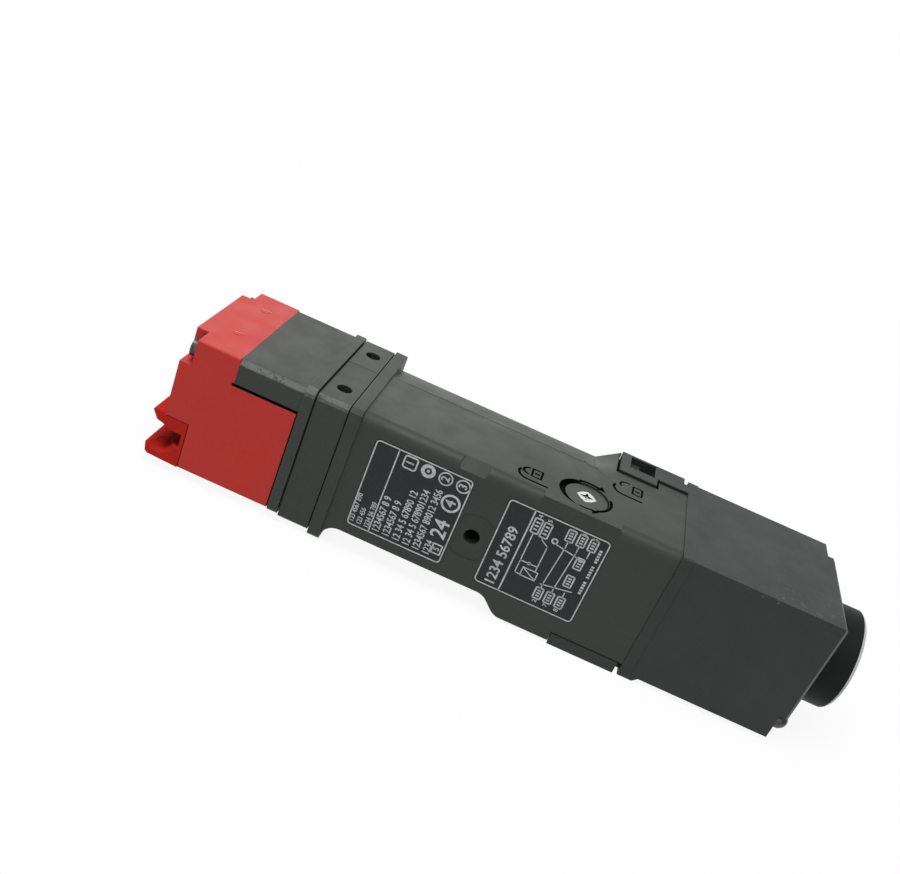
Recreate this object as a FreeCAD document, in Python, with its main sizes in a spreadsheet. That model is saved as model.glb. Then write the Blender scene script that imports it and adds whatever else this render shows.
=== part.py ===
"""Tongue interlock switch: a slim guard-lock switch with a turning head cam, lock rod and release.

Frame: X runs along the length, from the key slots (-X) to the conduit end (+X); Y runs across;
Z = 0 is the mounting plane under the back ribs and the release face looks up along +Z.
Sizes are millimetres.  The sheet "Sizes" holds every size that may be changed; the sheet "Places"
works out where things stand from those sizes.
"""
import FreeCAD, Part
import math
import os
import re
import Sketcher
from FreeCAD import Rotation, Vector

SIZES = {
    # outline of the housing
    "cover_seam": 44.15, "case_length": 95.0, "cover_length": 47.0, "body_width": 45.0,
    "front_face": 42.0, "case_back": 0.8, "cover_back": 1.4, "head_back": 2.5, "proud": 0.6,
    "gasket": 0.45, "block_length": 9.1, "collar_length": 3.0, "head_length": 35.0,
    "lip_reach": 3.5, "wall": 2.6, "edge_round": 3.4, "edge_break": 0.8,
    # case details
    "rib_length": 3.5, "rib_chamfer": 1.2, "recess_floor": 5.8, "step_from_seam": 38.0,
    "step_run": 5.0, "cavity_roof": 36.2, "cavity_head_wall": 5.25, "ridge_offset": 6.0,
    "bevel_drop": 4.5, "bevel_from_seam": 28.15, "ramp_length": 6.3, "pad_from_seam": 17.5,
    "pad_length": 22.0, "side_hole_from_seam": 52.4, "side_hole_height": 21.1,
    "side_hole_radius": 2.3, "side_tube_radius": 4.6, "spot_radius": 7.4, "spot_depth": 0.3,
    "spot_width": 8.6, "scoop_from_seam": 59.0, "scoop_radius": 4.0, "scoop_depth": 1.1,
    # mounting block
    "mount_hole_radius": 2.2, "mount_hole_spacing": 27.0, "block_back": 1.2,
    "parting_offset": 3.5, "parting_groove": 0.3,
    # head
    "hood_length": 19.0, "hood_depth": 7.4, "hood_gap": 0.6, "hood_chamfer": 1.5,
    "cheek_inset": 1.4, "head_cavity_roof": 31.4,
    "head_cavity_floor": 5.0, "corner_recess": 3.5, "corner_width": 7.0, "corner_depth": 7.75,
    "guide_length": 7.0, "guide_top": 16.7, "lip_top": 17.4, "slot_floor": 8.3,
    "slot_height": 4.6, "slot_width": 17.2, "slot_wall": 1.05, "lower_lip_reach": 3.4,
    "lower_lip_height": 3.9, "scoop_mouth": 4.1, "scoop_run": 5.0, "back_slot_inset": 1.85,
    # head mechanism
    "cam_setback": 14.85, "cam_height": 20.0, "cam_radius": 10.0, "lug_clearance": 0.3,
    "cam_shaft_radius": 2.5, "ramp_floor_radius": 6.0, "key_notch_radius": 3.0,
    "lug_width": 4.4, "lug_radius": 10.4, "cheek_clearance": 0.8, "cheek_thickness": 3.0,
    "cheek_reach": 7.0, "cheek_half_height": 8.6, "running_gap": 0.05, "seat_gap": 0.3,
    "plunger_radius": 2.5, "plunger_nose": 1.2, "nose_length": 6.4, "plunger_travel": 4.0,
    "flange_radius": 4.2, "flange_width": 1.0, "flange_from_case": 6.75, "tail_radius": 1.3,
    "plunger_tail": 26.0, "spring_wire": 0.4, "spring_turns": 4.0, "seal_depth": 1.5,
    "chamber_radius": 4.7,
    # lock rod, link and solenoid
    "rod_radius": 1.5, "post_clearance": 0.8, "rod_height": 29.7, "lock_travel": 4.0,
    "rod_from_cam": 8.0, "link_from_seam": 42.95, "link_thickness": 2.5, "solenoid_offset": 5.5,
    "frame_from_seam": 38.15, "frame_length": 28.0, "frame_height": 22.6, "frame_width": 18.0,
    "frame_thickness": 2.0, "bobbin_flange": 1.5, "bobbin_tube": 5.6, "coil_inset": 0.5,
    "core_radius": 4.4, "core_length": 10.0, "bobbin_gap": 0.2, "lock_spring_radius": 2.2,
    "lock_spring_turns": 6.0, "link_plate": 2.0, "plate_drop": 2.5, "plate_edge": 6.5,
    # contact sets
    "housing_from_case": 7.85, "housing_length": 29.0, "housing_wall": 1.2,
    "housing_half_width": 12.0, "housing_roof": 26.2, "bridge_thickness": 1.0,
    "bridge_half_length": 8.4, "bridge_height": 4.0, "contact_radius": 1.3,
    "contact_gap": 0.3, "blade_thickness": 0.8, "bridge_pitch": 12.0, "bridge_from_case": 17.8,
    "lock_housing_roof": 34.0, "lock_housing_half_width": 7.0, "lock_bridge_half_length": 4.6,
    # release
    "release_from_seam": 28.5, "release_inset": 10.0, "selector_radius": 7.2,
    "selector_depth": 2.3, "selector_sink": 0.5, "selector_gap": 0.25, "shaft_radius": 3.4,
    "shaft_tip": 31.5, "crank_radius": 3.0, "crank_pin": 1.25, "crank_pin_tip": 26.6,
    "clip_radius": 5.4, "clip_thickness": 0.9, "clip_groove": 0.5, "insert_width": 4.6,
    "insert_depth": 1.2, "insert_hex": 0.9,
    # terminal cover, its screws and latch arms
    "cover_wall": 2.4, "end_wall": 3.0, "band_length": 3.2, "band_proud": 0.3,
    "foot_length": 5.85, "end_chamfer": 0.9, "conduit_radius": 10.2, "conduit_height": 20.9,
    "screw_cut": 7.2, "screw_cut_depth": 2.6, "screw_inset": 3.6, "screw_edge": 5.4,
    "post_size": 8.2, "arm_depth": 3.0, "arm_width": 8.0, "arm_length": 9.7,
    "frame_plate_width": 12.3, "frame_plate_length": 11.6, "arm_gap": 0.25,
    "window_inset": 2.9, "window_length": 7.8, "window_margin": 4.4, "notch_length": 1.4,
    "notch_width": 3.2, "insert_radius": 2.3, "insert_length": 8.0, "seal_thickness": 1.2,
    "seal_half_width": 1.4,
    # fasteners (one family of small machine screws)
    "screw_radius": 1.5, "screw_head_radius": 2.6, "screw_head_height": 1.9,
    "cross_width": 0.7, "cross_depth": 1.0, "thread_depth": 6.5, "block_screw_offset": 9.5,
    "block_screw_rise": 1.5, "block_screw_drop": 8.5,
    # terminals
    "terminal_block_length": 38.0, "terminal_clearance": 1.5, "terminal_height": 12.0,
    "terminal_pitch": 6.6, "terminal_edge": 4.4, "terminal_well": 2.9, "terminal_into_case": 8.0,
    "terminal_rail": 2.6, "terminal_lift": 1.8, "terminal_foot": 5.0, "well_depth": 4.0,
    "well_rim": 0.4, "clamp_gap": 0.2, "clamp_thickness": 1.1, "terminal_screw_length": 5.5,
    "terminal_thread": 6.1,
    # conduit bush
    "bush_reach": 11.2, "bush_radius": 15.0, "bush_spigot": 8.0, "bush_bevel": 0.6,
    "bush_bore": 9.2, "ring_width": 1.0, "ring_step": 2.2, "bush_seal_width": 2.0,
    "bush_seal_depth": 1.2,
}

PLACES = {
    "half_width": "body_width / 2",
    "case_head": "cover_seam - case_length",
    "block_foot": "case_head - gasket",
    "block_top": "block_foot - block_length",
    "block_middle": "block_foot - block_length / 2",
    "collar_foot": "block_top - gasket",
    "collar_top": "collar_foot - collar_length",
    "head_end": "collar_top - head_length",
    "lip_end": "head_end - lip_reach",
    "cover_end": "cover_seam + cover_length",
    "front_proud": "front_face + proud",
    "half_proud": "half_width + proud",
    "rib_inner": "case_head + rib_length",
    "step_foot": "cover_seam - step_from_seam",
    "step_top": "step_foot - step_run",
    "cavity_floor": "recess_floor + wall",
    "cavity_half": "half_width - wall",
    "cavity_head": "case_head + cavity_head_wall",
    "ridge": "ridge_offset",
    "bevel_end": "cover_seam - bevel_from_seam",
    "pad_foot": "cover_seam - pad_from_seam",
    "pad_head": "pad_foot - pad_length",
    "side_hole": "cover_seam - side_hole_from_seam",
    "scoop_place": "cover_seam - scoop_from_seam",
    "hood_end": "collar_top - hood_length",
    "hood_floor": "front_face - hood_depth",
    "head_step": "hood_floor - hood_gap",
    "guide_place": "head_end + guide_length",
    "slot_roof": "slot_floor + slot_height",
    "slot_bottom": "guide_place - slot_wall",
    "cam_place": "head_end + cam_setback",
    "corner_floor": "head_end + corner_recess",
    "corner_inner": "half_width - corner_width",
    "corner_low": "front_face - corner_depth",
    "head_screw_row": "half_width - corner_width / 2",
    "head_screw_height": "front_face - corner_depth / 2",
    "post_row": "half_width - post_size",
    "rod_offset": "post_row - post_clearance - lock_housing_half_width",
    "release_offset": "half_width - release_inset",
    "cam_width": "2 * (rod_offset - lug_width / 2 - lug_clearance)",
    "cheek_gap": "cam_width + 2 * (lug_width + cheek_clearance)",
    "head_cavity_width": "cheek_gap + 2 * (cheek_thickness + cheek_inset)",
    "nose_tip": "cam_place + cam_radius + running_gap",
    "flange_place": "case_head - flange_from_case",
    "release_place": "cover_seam - release_from_seam",
    "link_place": "cover_seam - link_from_seam",
    "frame_place": "cover_seam - frame_from_seam",
    "frame_end": "frame_place + frame_length",
    "solenoid_height": "cavity_floor + frame_height / 2",
    "core_face": "frame_end - core_length",
    "bobbin_radius": "frame_height / 2 - frame_thickness - bobbin_gap",
    "coil_radius": "bobbin_radius - coil_inset",
    "rod_tip": "cam_place + rod_from_cam",
    "housing_place": "case_head + housing_from_case",
    "bridge_place": "case_head + bridge_from_case",
    "selector_top": "front_face - selector_sink",
    "selector_seat": "selector_top - selector_depth",
    "screw_row": "half_width - screw_inset",
    "screw_height": "front_face - screw_edge",
    "screw_height_back": "case_back + screw_edge",
    "post_height": "front_face - post_size - 2",
    "post_height_back": "case_back + post_size + 2",
    "arm_inner": "half_width - arm_width",
    "arm_end": "cover_seam - arm_length",
    "frame_plate_end": "arm_end - frame_plate_length",
    "frame_plate_inner": "half_width - frame_plate_width",
    "insert_end": "cover_seam - insert_length",
    "terminal_place": "cover_seam - terminal_into_case",
    "terminal_bed": "cavity_floor + terminal_lift",
    "terminal_half_width": "post_row - terminal_clearance",
    "terminal_row": "terminal_half_width - terminal_edge",
    "terminal_top": "terminal_bed + terminal_height",
}

ORIGIN_ROLES = {"top": "XY_Plane", "side": "XZ_Plane", "end": "YZ_Plane"}
AXIS_TURNS = {
    "x": Rotation(Vector(0, 1, 0), 90),
    "y": Rotation(Vector(1, 0, 0), -90),
    "z": Rotation(),
}

doc = FreeCAD.newDocument("TongueInterlockSwitch")
sub_parts = []


# ---------------------------------------------------------------- sheets and expressions

def column_name(index):
    """Return a sheet's column letters for a count from 0."""
    return chr(65 + index)


def fill_sheet(label, cells):
    """Make a sheet with one row per value: its name in column A and the value in column B."""
    sheet = doc.addObject("Spreadsheet::Sheet", label)
    for row, (alias, value) in enumerate(cells.items(), start=1):
        sheet.set(f"{column_name(0)}{row}", alias)
        sheet.set(f"{column_name(1)}{row}", value)
        sheet.setAlias(f"{column_name(1)}{row}", alias)
    return sheet


def formula(text):
    """Turn bare size names in a formula into references to the sheet that holds them."""
    def reference(match):
        word = match.group(0)
        if word in SIZES:
            return f"Sizes.{word}"
        if word in PLACES:
            return f"Places.{word}"
        return word
    return re.sub(r"[a-z_]+", reference, str(text))


sizes = fill_sheet("Sizes", {alias: str(value) for alias, value in SIZES.items()})
doc.recompute()
places = fill_sheet("Places", {alias: "=" + formula(text) for alias, text in PLACES.items()})
doc.recompute()


def value(text):
    """Work a formula out as a number, with the same names as the expressions use."""
    return float(places.evalExpression(formula(text)))


def bind(item, expressions):
    """Bind properties of an object to formulas."""
    for name, text in expressions.items():
        item.setExpression(name, formula(text))


def keep(item, label):
    """Name an object as a finished sub-part."""
    item.Label = label
    sub_parts.append(item)
    return item


# ---------------------------------------------------------------- bodies and sketches

def new_body(label):
    """Start a body and register it as a sub-part."""
    return keep(doc.addObject("PartDesign::Body", label), label)


def new_sketch(body, name, plane, at="0", shift=("0", "0")):
    """Attach a sketch to one of the body's origin planes, moved along its normal.

    A "side" sketch draws X across and Z up with its place given along Y; an "end" sketch draws
    Y across and Z up at a place along X; a "top" sketch draws X and Y at a height Z.
    """
    sketch = body.newObject("Sketcher::SketchObject", name)
    role = ORIGIN_ROLES[plane]
    support = next(f for f in body.Origin.OriginFeatures if f.Role == role)
    sketch.AttachmentSupport = [(support, "")]
    sketch.MapMode = "FlatFace"
    offset = f"-({at})" if plane == "side" else at
    bind(sketch, {"AttachmentOffset.Base.x": shift[0], "AttachmentOffset.Base.y": shift[1],
                  "AttachmentOffset.Base.z": offset})
    return sketch


def fix_point(sketch, geometry, position, x, y):
    """Hold one point of a sketch at two formulas from its origin; None leaves a way free."""
    for kind, text in (("DistanceX", x), ("DistanceY", y)):
        if text is None:
            continue
        index = sketch.addConstraint(
            Sketcher.Constraint(kind, -1, 1, geometry, position, value(text)))
        sketch.setExpression(f"Constraints[{index}]", formula(text))


def add_polygon(sketch, points):
    """Draw a closed outline through points given as pairs of formulas."""
    corners = [Vector(value(x), value(y), 0) for x, y in points]
    first = sketch.GeometryCount
    count = len(corners)
    for number in range(count):
        sketch.addGeometry(Part.LineSegment(corners[number], corners[(number + 1) % count]))
    for number in range(count):
        following = first + (number + 1) % count
        sketch.addConstraint(Sketcher.Constraint("Coincident", first + number, 2, following, 1))
    for number, (x, y) in enumerate(points):
        fix_point(sketch, first + number, 1, x, y)


def add_circle(sketch, x, y, radius):
    """Draw a circle with its centre and radius given by formulas."""
    centre = Vector(value(x), value(y), 0)
    index = sketch.addGeometry(Part.Circle(centre, Vector(0, 0, 1), value(radius)))
    fix_point(sketch, index, 3, x, y)
    size = sketch.addConstraint(Sketcher.Constraint("Radius", index, value(radius)))
    sketch.setExpression(f"Constraints[{size}]", formula(radius))


def rectangle(x_low, y_low, x_high, y_high):
    """Return the four corners of a rectangle as pairs of formulas."""
    return [(x_low, y_low), (x_high, y_low), (x_high, y_high), (x_low, y_high)]


def clipped_rectangle(half, low, high, clip):
    """Return an outline symmetric about zero whose corners are cut off by a chamfer."""
    return [(f"-({half}) + {clip}", low), (f"{half} - {clip}", low),
            (half, f"{low} + {clip}"), (half, f"{high} - {clip}"),
            (f"{half} - {clip}", high), (f"-({half}) + {clip}", high),
            (f"-({half})", f"{high} - {clip}"), (f"-({half})", f"{low} + {clip}")]


def add_feature(body, kind, name, sketch, length, **options):
    """Add a pad or a pocket of a given length from a sketch."""
    feature = body.newObject(kind, name)
    feature.Profile = sketch
    bind(feature, {"Length": length})
    for option, setting in options.items():
        setattr(feature, option, setting)
    sketch.Visibility = False
    return feature


def pad(body, name, sketch, length, reverse=False, both=False):
    """Grow material from a sketch, along its normal unless reversed, or to both sides."""
    return add_feature(body, "PartDesign::Pad", name, sketch, length,
                       Reversed=reverse, Midplane=both)


def pocket(body, name, sketch, length, reverse=False, both=False):
    """Cut material from a sketch, against its normal unless reversed, or to both sides."""
    before = solid_volume(body)
    feature = add_feature(body, "PartDesign::Pocket", name, sketch, length,
                          Reversed=reverse, Midplane=both)
    if solid_volume(body) >= before:
        raise RuntimeError(f"{body.Label}: {name} removes nothing")
    return feature


def solid_volume(body):
    """Return the volume of a body as it stands."""
    doc.recompute()
    return body.Shape.Volume


def pick_edges(feature, test):
    """Name the edges of a feature whose middle point and direction pass a test."""
    doc.recompute()
    names = []
    for number, edge in enumerate(feature.Shape.Edges, start=1):
        middle = edge.valueAt((edge.FirstParameter + edge.LastParameter) / 2)
        if test(middle, edge):
            names.append(f"Edge{number}")
    if not names:
        raise RuntimeError(f"{feature.Label}: no edge found to dress")
    return names


def dress(body, kind, name, base, edges, size):
    """Round or chamfer edges of the body's last feature."""
    feature = body.newObject(kind, name)
    feature.Base = (base, edges)
    bind(feature, {"Radius" if kind.endswith("Fillet") else "Size": size})
    doc.recompute()
    return feature


def close_to(first, second):
    """Tell whether two lengths agree to a hundredth."""
    return abs(first - second) < 0.01


def runs_along(edge, axis):
    """Tell whether an edge is straight and parallel to an axis vector."""
    if edge.Curve.TypeId != "Part::GeomLine":
        return False
    return abs(abs(edge.Curve.Direction.dot(axis)) - 1) < 1e-6


def turned(label, axis, place, profile):
    """Revolve a profile about an axis along X or Z through a place.

    Args: axis "x" reads the profile as (x, radius) pairs and place as (y, z); axis "z" reads it
    as (radius, z) pairs and place as (x, y).
    """
    body = new_body(label)
    if axis == "x":
        sketch = new_sketch(body, f"{label}_profile", "side", place[0], ("0", place[1]))
    else:
        sketch = new_sketch(body, f"{label}_profile", "side", place[1], (place[0], "0"))
    add_polygon(sketch, profile)
    feature = body.newObject("PartDesign::Revolution", f"{label}_turn")
    feature.Profile = sketch
    feature.ReferenceAxis = (sketch, ["H_Axis" if axis == "x" else "V_Axis"])
    feature.Angle = 360
    sketch.Visibility = False
    doc.recompute()
    return body


# ---------------------------------------------------------------- Part primitives

def box(name, low, size):
    """Make a box from its low corner and its three sizes, all formulas."""
    item = doc.addObject("Part::Box", name)
    bind(item, {"Placement.Base.x": low[0], "Placement.Base.y": low[1],
                "Placement.Base.z": low[2],
                "Length": size[0], "Width": size[1], "Height": size[2]})
    return item


def rod(name, axis, start, radius, length):
    """Make a cylinder that grows from its start point along an axis."""
    item = doc.addObject("Part::Cylinder", name)
    item.Placement = FreeCAD.Placement(Vector(), AXIS_TURNS[axis])
    bind(item, {"Placement.Base.x": start[0], "Placement.Base.y": start[1],
                "Placement.Base.z": start[2], "Radius": radius, "Height": length})
    return item


def joined(name, items):
    """Fuse several shapes into one."""
    item = doc.addObject("Part::MultiFuse", name)
    item.Shapes = items
    item.Refine = True
    return item


def cut(name, base, tools):
    """Take one or more shapes away from another."""
    item = doc.addObject("Part::Cut", name)
    item.Base = base
    item.Tool = tools[0] if len(tools) == 1 else joined(f"{name}_tools", tools)
    item.Refine = True
    return item


def group(label, items):
    """Keep several separate solids as one sub-part."""
    item = doc.addObject("Part::Compound", label)
    item.Links = items
    return keep(item, label)


def cross_head_screw(name, head, direction, shank):
    """Make one cross-recessed screw along X.

    Args: head is the place of the head's underside, direction "+" or "-" the way its shank runs.
    """
    x, y, z = head
    sign = 1 if direction == "+" else -1
    top = f"({x}) - {sign} * screw_head_height"
    shaft_low = x if sign > 0 else f"({x}) - ({shank})"
    head_low = top if sign > 0 else x
    shaft = rod(f"{name}_shank", "x", (shaft_low, y, z), "screw_radius", shank)
    cap = rod(f"{name}_head", "x", (head_low, y, z), "screw_head_radius", "screw_head_height")
    slot_low = top if sign > 0 else f"({top}) - cross_depth"
    reach = "screw_head_radius * 0.62"
    slots = [
        box(f"{name}_slot_a", (slot_low, f"({y}) - cross_width / 2", f"({z}) - {reach}"),
            ("cross_depth", "cross_width", f"2 * {reach}")),
        box(f"{name}_slot_b", (slot_low, f"({y}) - {reach}", f"({z}) - cross_width / 2"),
            ("cross_depth", f"2 * {reach}", "cross_width")),
    ]
    return cut(name, joined(f"{name}_blank", [shaft, cap]), slots)


def coil_spring(label, start, length, radius, wire, turns):
    """Make a compression spring along X: tilted half turns of round wire, closed at both ends."""
    coil, thick = value(radius), value(wire)
    count = int(2 * value(turns))
    closed = 2.1 * thick / 2
    active = (value(length) - 2 * thick - 4 * closed) / (count - 4)
    shape, height = None, 0.0
    for index in range(count):
        rise = closed if index < 2 or index >= count - 2 else active
        reach = math.hypot(coil, rise / 2)
        tilt = math.degrees(math.asin(rise / 2 / reach))
        half_turn = Part.makeTorus(reach, thick, Vector(), Vector(0, 0, 1), 0, 360, 180)
        side = 1 if index % 2 == 0 else -1
        spin = Rotation(Vector(0, 0, 1), 0 if side > 0 else 180)
        half_turn.Placement = FreeCAD.Placement(
            Vector(0, 0, height + rise / 2), Rotation(Vector(0, 1, 0), side * tilt).multiply(spin))
        shape = half_turn if shape is None else shape.fuse(half_turn)
        height += rise
    item = doc.addObject("Part::Feature", label)
    item.Shape = shape
    item.Placement = FreeCAD.Placement(
        Vector(value(start[0]) + thick, value(start[1]), value(start[2])), AXIS_TURNS["x"])
    return keep(item, label)


# ---------------------------------------------------------------- housing

def build_case_shell():
    """Mould the long case: recessed back, rounded edge, bevelled far edge, rib and bores."""
    body = new_body("case_shell")
    profile = new_sketch(body, "case_profile", "side")
    add_polygon(profile, [
        ("case_head", "front_face"), ("cover_seam", "front_face"), ("cover_seam", "case_back"),
        ("step_foot", "case_back"), ("step_top", "recess_floor"), ("rib_inner", "recess_floor"),
        ("rib_inner", "case_back"), ("case_head", "case_back")])
    block = pad(body, "case_block", profile, "body_width", both=True)
    along, across = Vector(1, 0, 0), Vector(0, 1, 0)
    front, side, floor = value("front_face"), value("half_width"), value("recess_floor")
    rounded = dress(body, "PartDesign::Fillet", "case_round", block, pick_edges(
        block, lambda p, e: runs_along(e, along) and close_to(p.z, front)
        and close_to(p.y, -side)), "edge_round")
    blended = dress(body, "PartDesign::Fillet", "recess_blend", rounded, pick_edges(
        rounded, lambda p, e: runs_along(e, across) and close_to(p.z, floor)),
        "recess_floor - case_back - 0.2")
    dress(body, "PartDesign::Fillet", "step_blend", blended, pick_edges(
        blended, lambda p, e: runs_along(e, across) and close_to(p.x, value("step_foot"))),
        "recess_floor - case_back - 0.2")

    rib = new_sketch(body, "rib_outline", "end", "case_head")
    add_polygon(rib, clipped_rectangle("half_proud", "0", "front_proud", "rib_chamfer"))
    pad(body, "rib", rib, "rib_length")

    corner = new_sketch(body, "release_pad_outline", "end", "pad_head")
    add_polygon(corner, rectangle("-half_width", "front_face - edge_round - 1", "ridge",
                                  "front_face"))
    pad(body, "release_pad", corner, "pad_length")

    slope = "bevel_drop / (half_width - ridge)"
    wedge = [("ridge", "front_face"), ("ridge", "front_face + 1"),
             ("half_width + 1", "front_face + 1"),
             ("half_width + 1", f"front_face - {slope} * (half_width + 1 - ridge)")]
    bevel = new_sketch(body, "bevel_outline", "end", "rib_inner")
    add_polygon(bevel, wedge)
    pocket(body, "far_bevel", bevel, "bevel_end - rib_inner", reverse=True)
    ramp_start = new_sketch(body, "ramp_start", "end", "bevel_end")
    add_polygon(ramp_start, wedge)
    ramp_end = new_sketch(body, "ramp_end", "end", "bevel_end + ramp_length")
    add_polygon(ramp_end, [("ridge", "front_face"), ("ridge", "front_face + 1"),
                           ("half_width + 1", "front_face + 1"),
                           ("half_width + 1", "front_face - 0.01")])
    ramp = body.newObject("PartDesign::SubtractiveLoft", "bevel_ramp")
    ramp.Profile = ramp_start
    ramp.Sections = [ramp_end]
    ramp.Ruled = True

    add_arm_seats(body)
    cavity = new_sketch(body, "cavity_outline", "end", "cover_seam")
    add_polygon(cavity, cavity_outline("cavity_roof", "0"))
    pocket(body, "cavity", cavity, "case_length - cavity_head_wall")

    add_side_mount(body)
    add_case_bores(body)
    add_edge_scoop(body)


def cavity_outline(roof, inset):
    """Outline the hollow of the case and its cover, with room for two corner screws."""
    low, wide = f"cavity_floor + {inset}", f"cavity_half - {inset}"
    return [(f"-({wide})", f"{roof} - {inset}"), (f"post_row - {inset}", f"{roof} - {inset}"),
            (f"post_row - {inset}", f"post_height - {inset}"), (wide, f"post_height - {inset}"),
            (wide, low), (f"-(post_row) + {inset}", low),
            (f"-(post_row) + {inset}", f"post_height_back + {inset}"),
            (f"-({wide})", f"post_height_back + {inset}")]


def arm_outline(side, gap):
    """Outline a latch arm with its wider end plate, on the far (+1) or near (-1) side."""
    outer = f"{side} * (half_width + proud * 0.5 - {gap} + 0.01)"
    return [("cover_seam", f"{side} * (arm_inner - {gap})"),
            (f"arm_end + {gap}", f"{side} * (arm_inner - {gap})"),
            (f"arm_end + {gap}", f"{side} * (frame_plate_inner - {gap})"),
            (f"frame_plate_end - {gap}", f"{side} * (frame_plate_inner - {gap})"),
            (f"frame_plate_end - {gap}", outer), ("cover_seam", outer)]


def add_arm_seats(body):
    """Sink the seats of the cover's latch arms at the front-far and back-near corners."""
    for name, side, level, reverse in (("front", 1, "front_face", False),
                                       ("back", -1, "case_back", True)):
        seat = new_sketch(body, f"arm_seat_{name}", "top", level)
        points = arm_outline(side, "arm_gap")
        wide = f"{side} * (half_width + 1)"
        add_polygon(seat, points[:4] + [(points[4][0], wide), (points[5][0], wide)])
        pocket(body, f"arm_seat_cut_{name}", seat, "arm_depth", reverse=reverse)
        hook = new_sketch(body, f"latch_hook_{name}", "top",
                          f"front_face - arm_depth" if side > 0 else "case_back + arm_depth")
        low, high = "frame_plate_end + window_inset + 0.6", "frame_plate_end + window_inset + 3.4"
        add_polygon(hook, rectangle(low, f"{side} * (half_width - window_margin - 1.6)", high,
                                    f"{side} * (half_width - 1)"))
        pad(body, f"latch_hook_pad_{name}", hook, "arm_depth * 0.55", reverse=side < 0)


def add_side_mount(body):
    """Carry the side mounting bolt through the case in a tube, with a spot face on the near side."""
    tube = new_sketch(body, "side_tube_outline", "side")
    add_circle(tube, "side_hole", "side_hole_height", "side_tube_radius")
    pad(body, "side_tube", tube, "2 * cavity_half + 0.2", both=True)
    bore = new_sketch(body, "side_bore_outline", "side")
    add_circle(bore, "side_hole", "side_hole_height", "side_hole_radius")
    pocket(body, "side_bore", bore, "body_width + 2", both=True)
    spot = new_sketch(body, "spot_face_outline", "side", "-half_width",
                      ("side_hole", "side_hole_height"))
    half, reach = "spot_width / 2", "sqrt(spot_radius ^ 2 - (spot_width / 2) ^ 2)"
    add_flat_sided_circle(spot, "spot_radius", half, reach)
    pocket(body, "spot_face", spot, "spot_depth")


def add_flat_sided_circle(sketch, radius, half, reach):
    """Draw a circle about the sketch's origin with two flats at half its width."""
    size, angle = value(radius), math.acos(value(half) / value(radius))
    circle = Part.Circle(Vector(), Vector(0, 0, 1), size)
    sketch.addGeometry(Part.ArcOfCircle(circle, angle, math.pi - angle))
    sketch.addGeometry(Part.LineSegment(polar(size, math.pi - angle),
                                        polar(size, math.pi + angle)))
    sketch.addGeometry(Part.ArcOfCircle(circle, math.pi + angle, 2 * math.pi - angle))
    sketch.addGeometry(Part.LineSegment(polar(size, -angle), polar(size, angle)))
    for first, second in ((0, 1), (1, 2), (2, 3), (3, 0)):
        sketch.addConstraint(Sketcher.Constraint("Coincident", first, 2, second, 1))
    for arc, sign in ((0, ""), (2, "-")):
        fix_point(sketch, arc, 3, "0", "0")
        fix_point(sketch, arc, 1, f"{sign}({half})", f"{sign}({reach})")
    fix_point(sketch, 1, 1, f"-({half})", None)
    fix_point(sketch, 3, 1, half, None)


def add_case_bores(body):
    """Bore the case for the plunger, rod, release, block screws and screw inserts."""
    end = new_sketch(body, "rod_bores", "end", "case_head")
    add_circle(end, "0", "cam_height", "plunger_radius + running_gap")
    add_circle(end, "rod_offset", "rod_height", "rod_radius + running_gap")
    for y, z in BLOCK_SCREWS:
        add_circle(end, y, z, "screw_radius + running_gap")
    pocket(body, "rod_bore_cut", end, "cavity_head_wall + 1", reverse=True)
    seal = new_sketch(body, "plunger_seal_seat", "end", "case_head")
    add_circle(seal, "0", "cam_height", "chamber_radius")
    pocket(body, "plunger_seal_cut", seal, "seal_depth", reverse=True)
    seat = new_sketch(body, "selector_seat_outline", "top", "front_face")
    add_circle(seat, "release_place", "-release_offset", "selector_radius + selector_gap")
    pocket(body, "selector_seat_cut", seat, "front_face - selector_seat")
    shaft = new_sketch(body, "shaft_bore_outline", "top", "front_face")
    add_circle(shaft, "release_place", "-release_offset", "shaft_radius + running_gap")
    pocket(body, "shaft_bore", shaft, "front_face - cavity_roof + 0.5")
    ring = new_sketch(body, "release_seal_seat", "top", "cavity_roof")
    add_circle(ring, "release_place", "-release_offset", "shaft_radius + seal_depth")
    pocket(body, "release_seal_cut", ring, "seal_depth", reverse=True)
    inserts = new_sketch(body, "insert_bores", "end", "cover_seam")
    add_circle(inserts, "screw_row", "screw_height", "insert_radius")
    add_circle(inserts, "-screw_row", "screw_height_back", "insert_radius")
    pocket(body, "insert_bore_cut", inserts, "insert_length")


def add_edge_scoop(body):
    """Scoop a round spot out of the rounded near edge."""
    scoop = body.newObject("PartDesign::SubtractiveCylinder", "edge_scoop")
    scoop.Placement = FreeCAD.Placement(Vector(), Rotation(Vector(1, 0, 0), 45))
    sink = "(edge_round * 0.293 + scoop_depth) * 0.7071"
    bind(scoop, {"Radius": "scoop_radius", "Height": "10",
                 "Placement.Base.x": "scoop_place",
                 "Placement.Base.y": f"-half_width + {sink}",
                 "Placement.Base.z": f"front_face - {sink}"})


BLOCK_SCREWS = [("-block_screw_offset", "rod_height + block_screw_rise"),
                ("-block_screw_offset", "cam_height - block_screw_drop"),
                ("block_screw_offset", "cam_height - block_screw_drop")]


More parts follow.
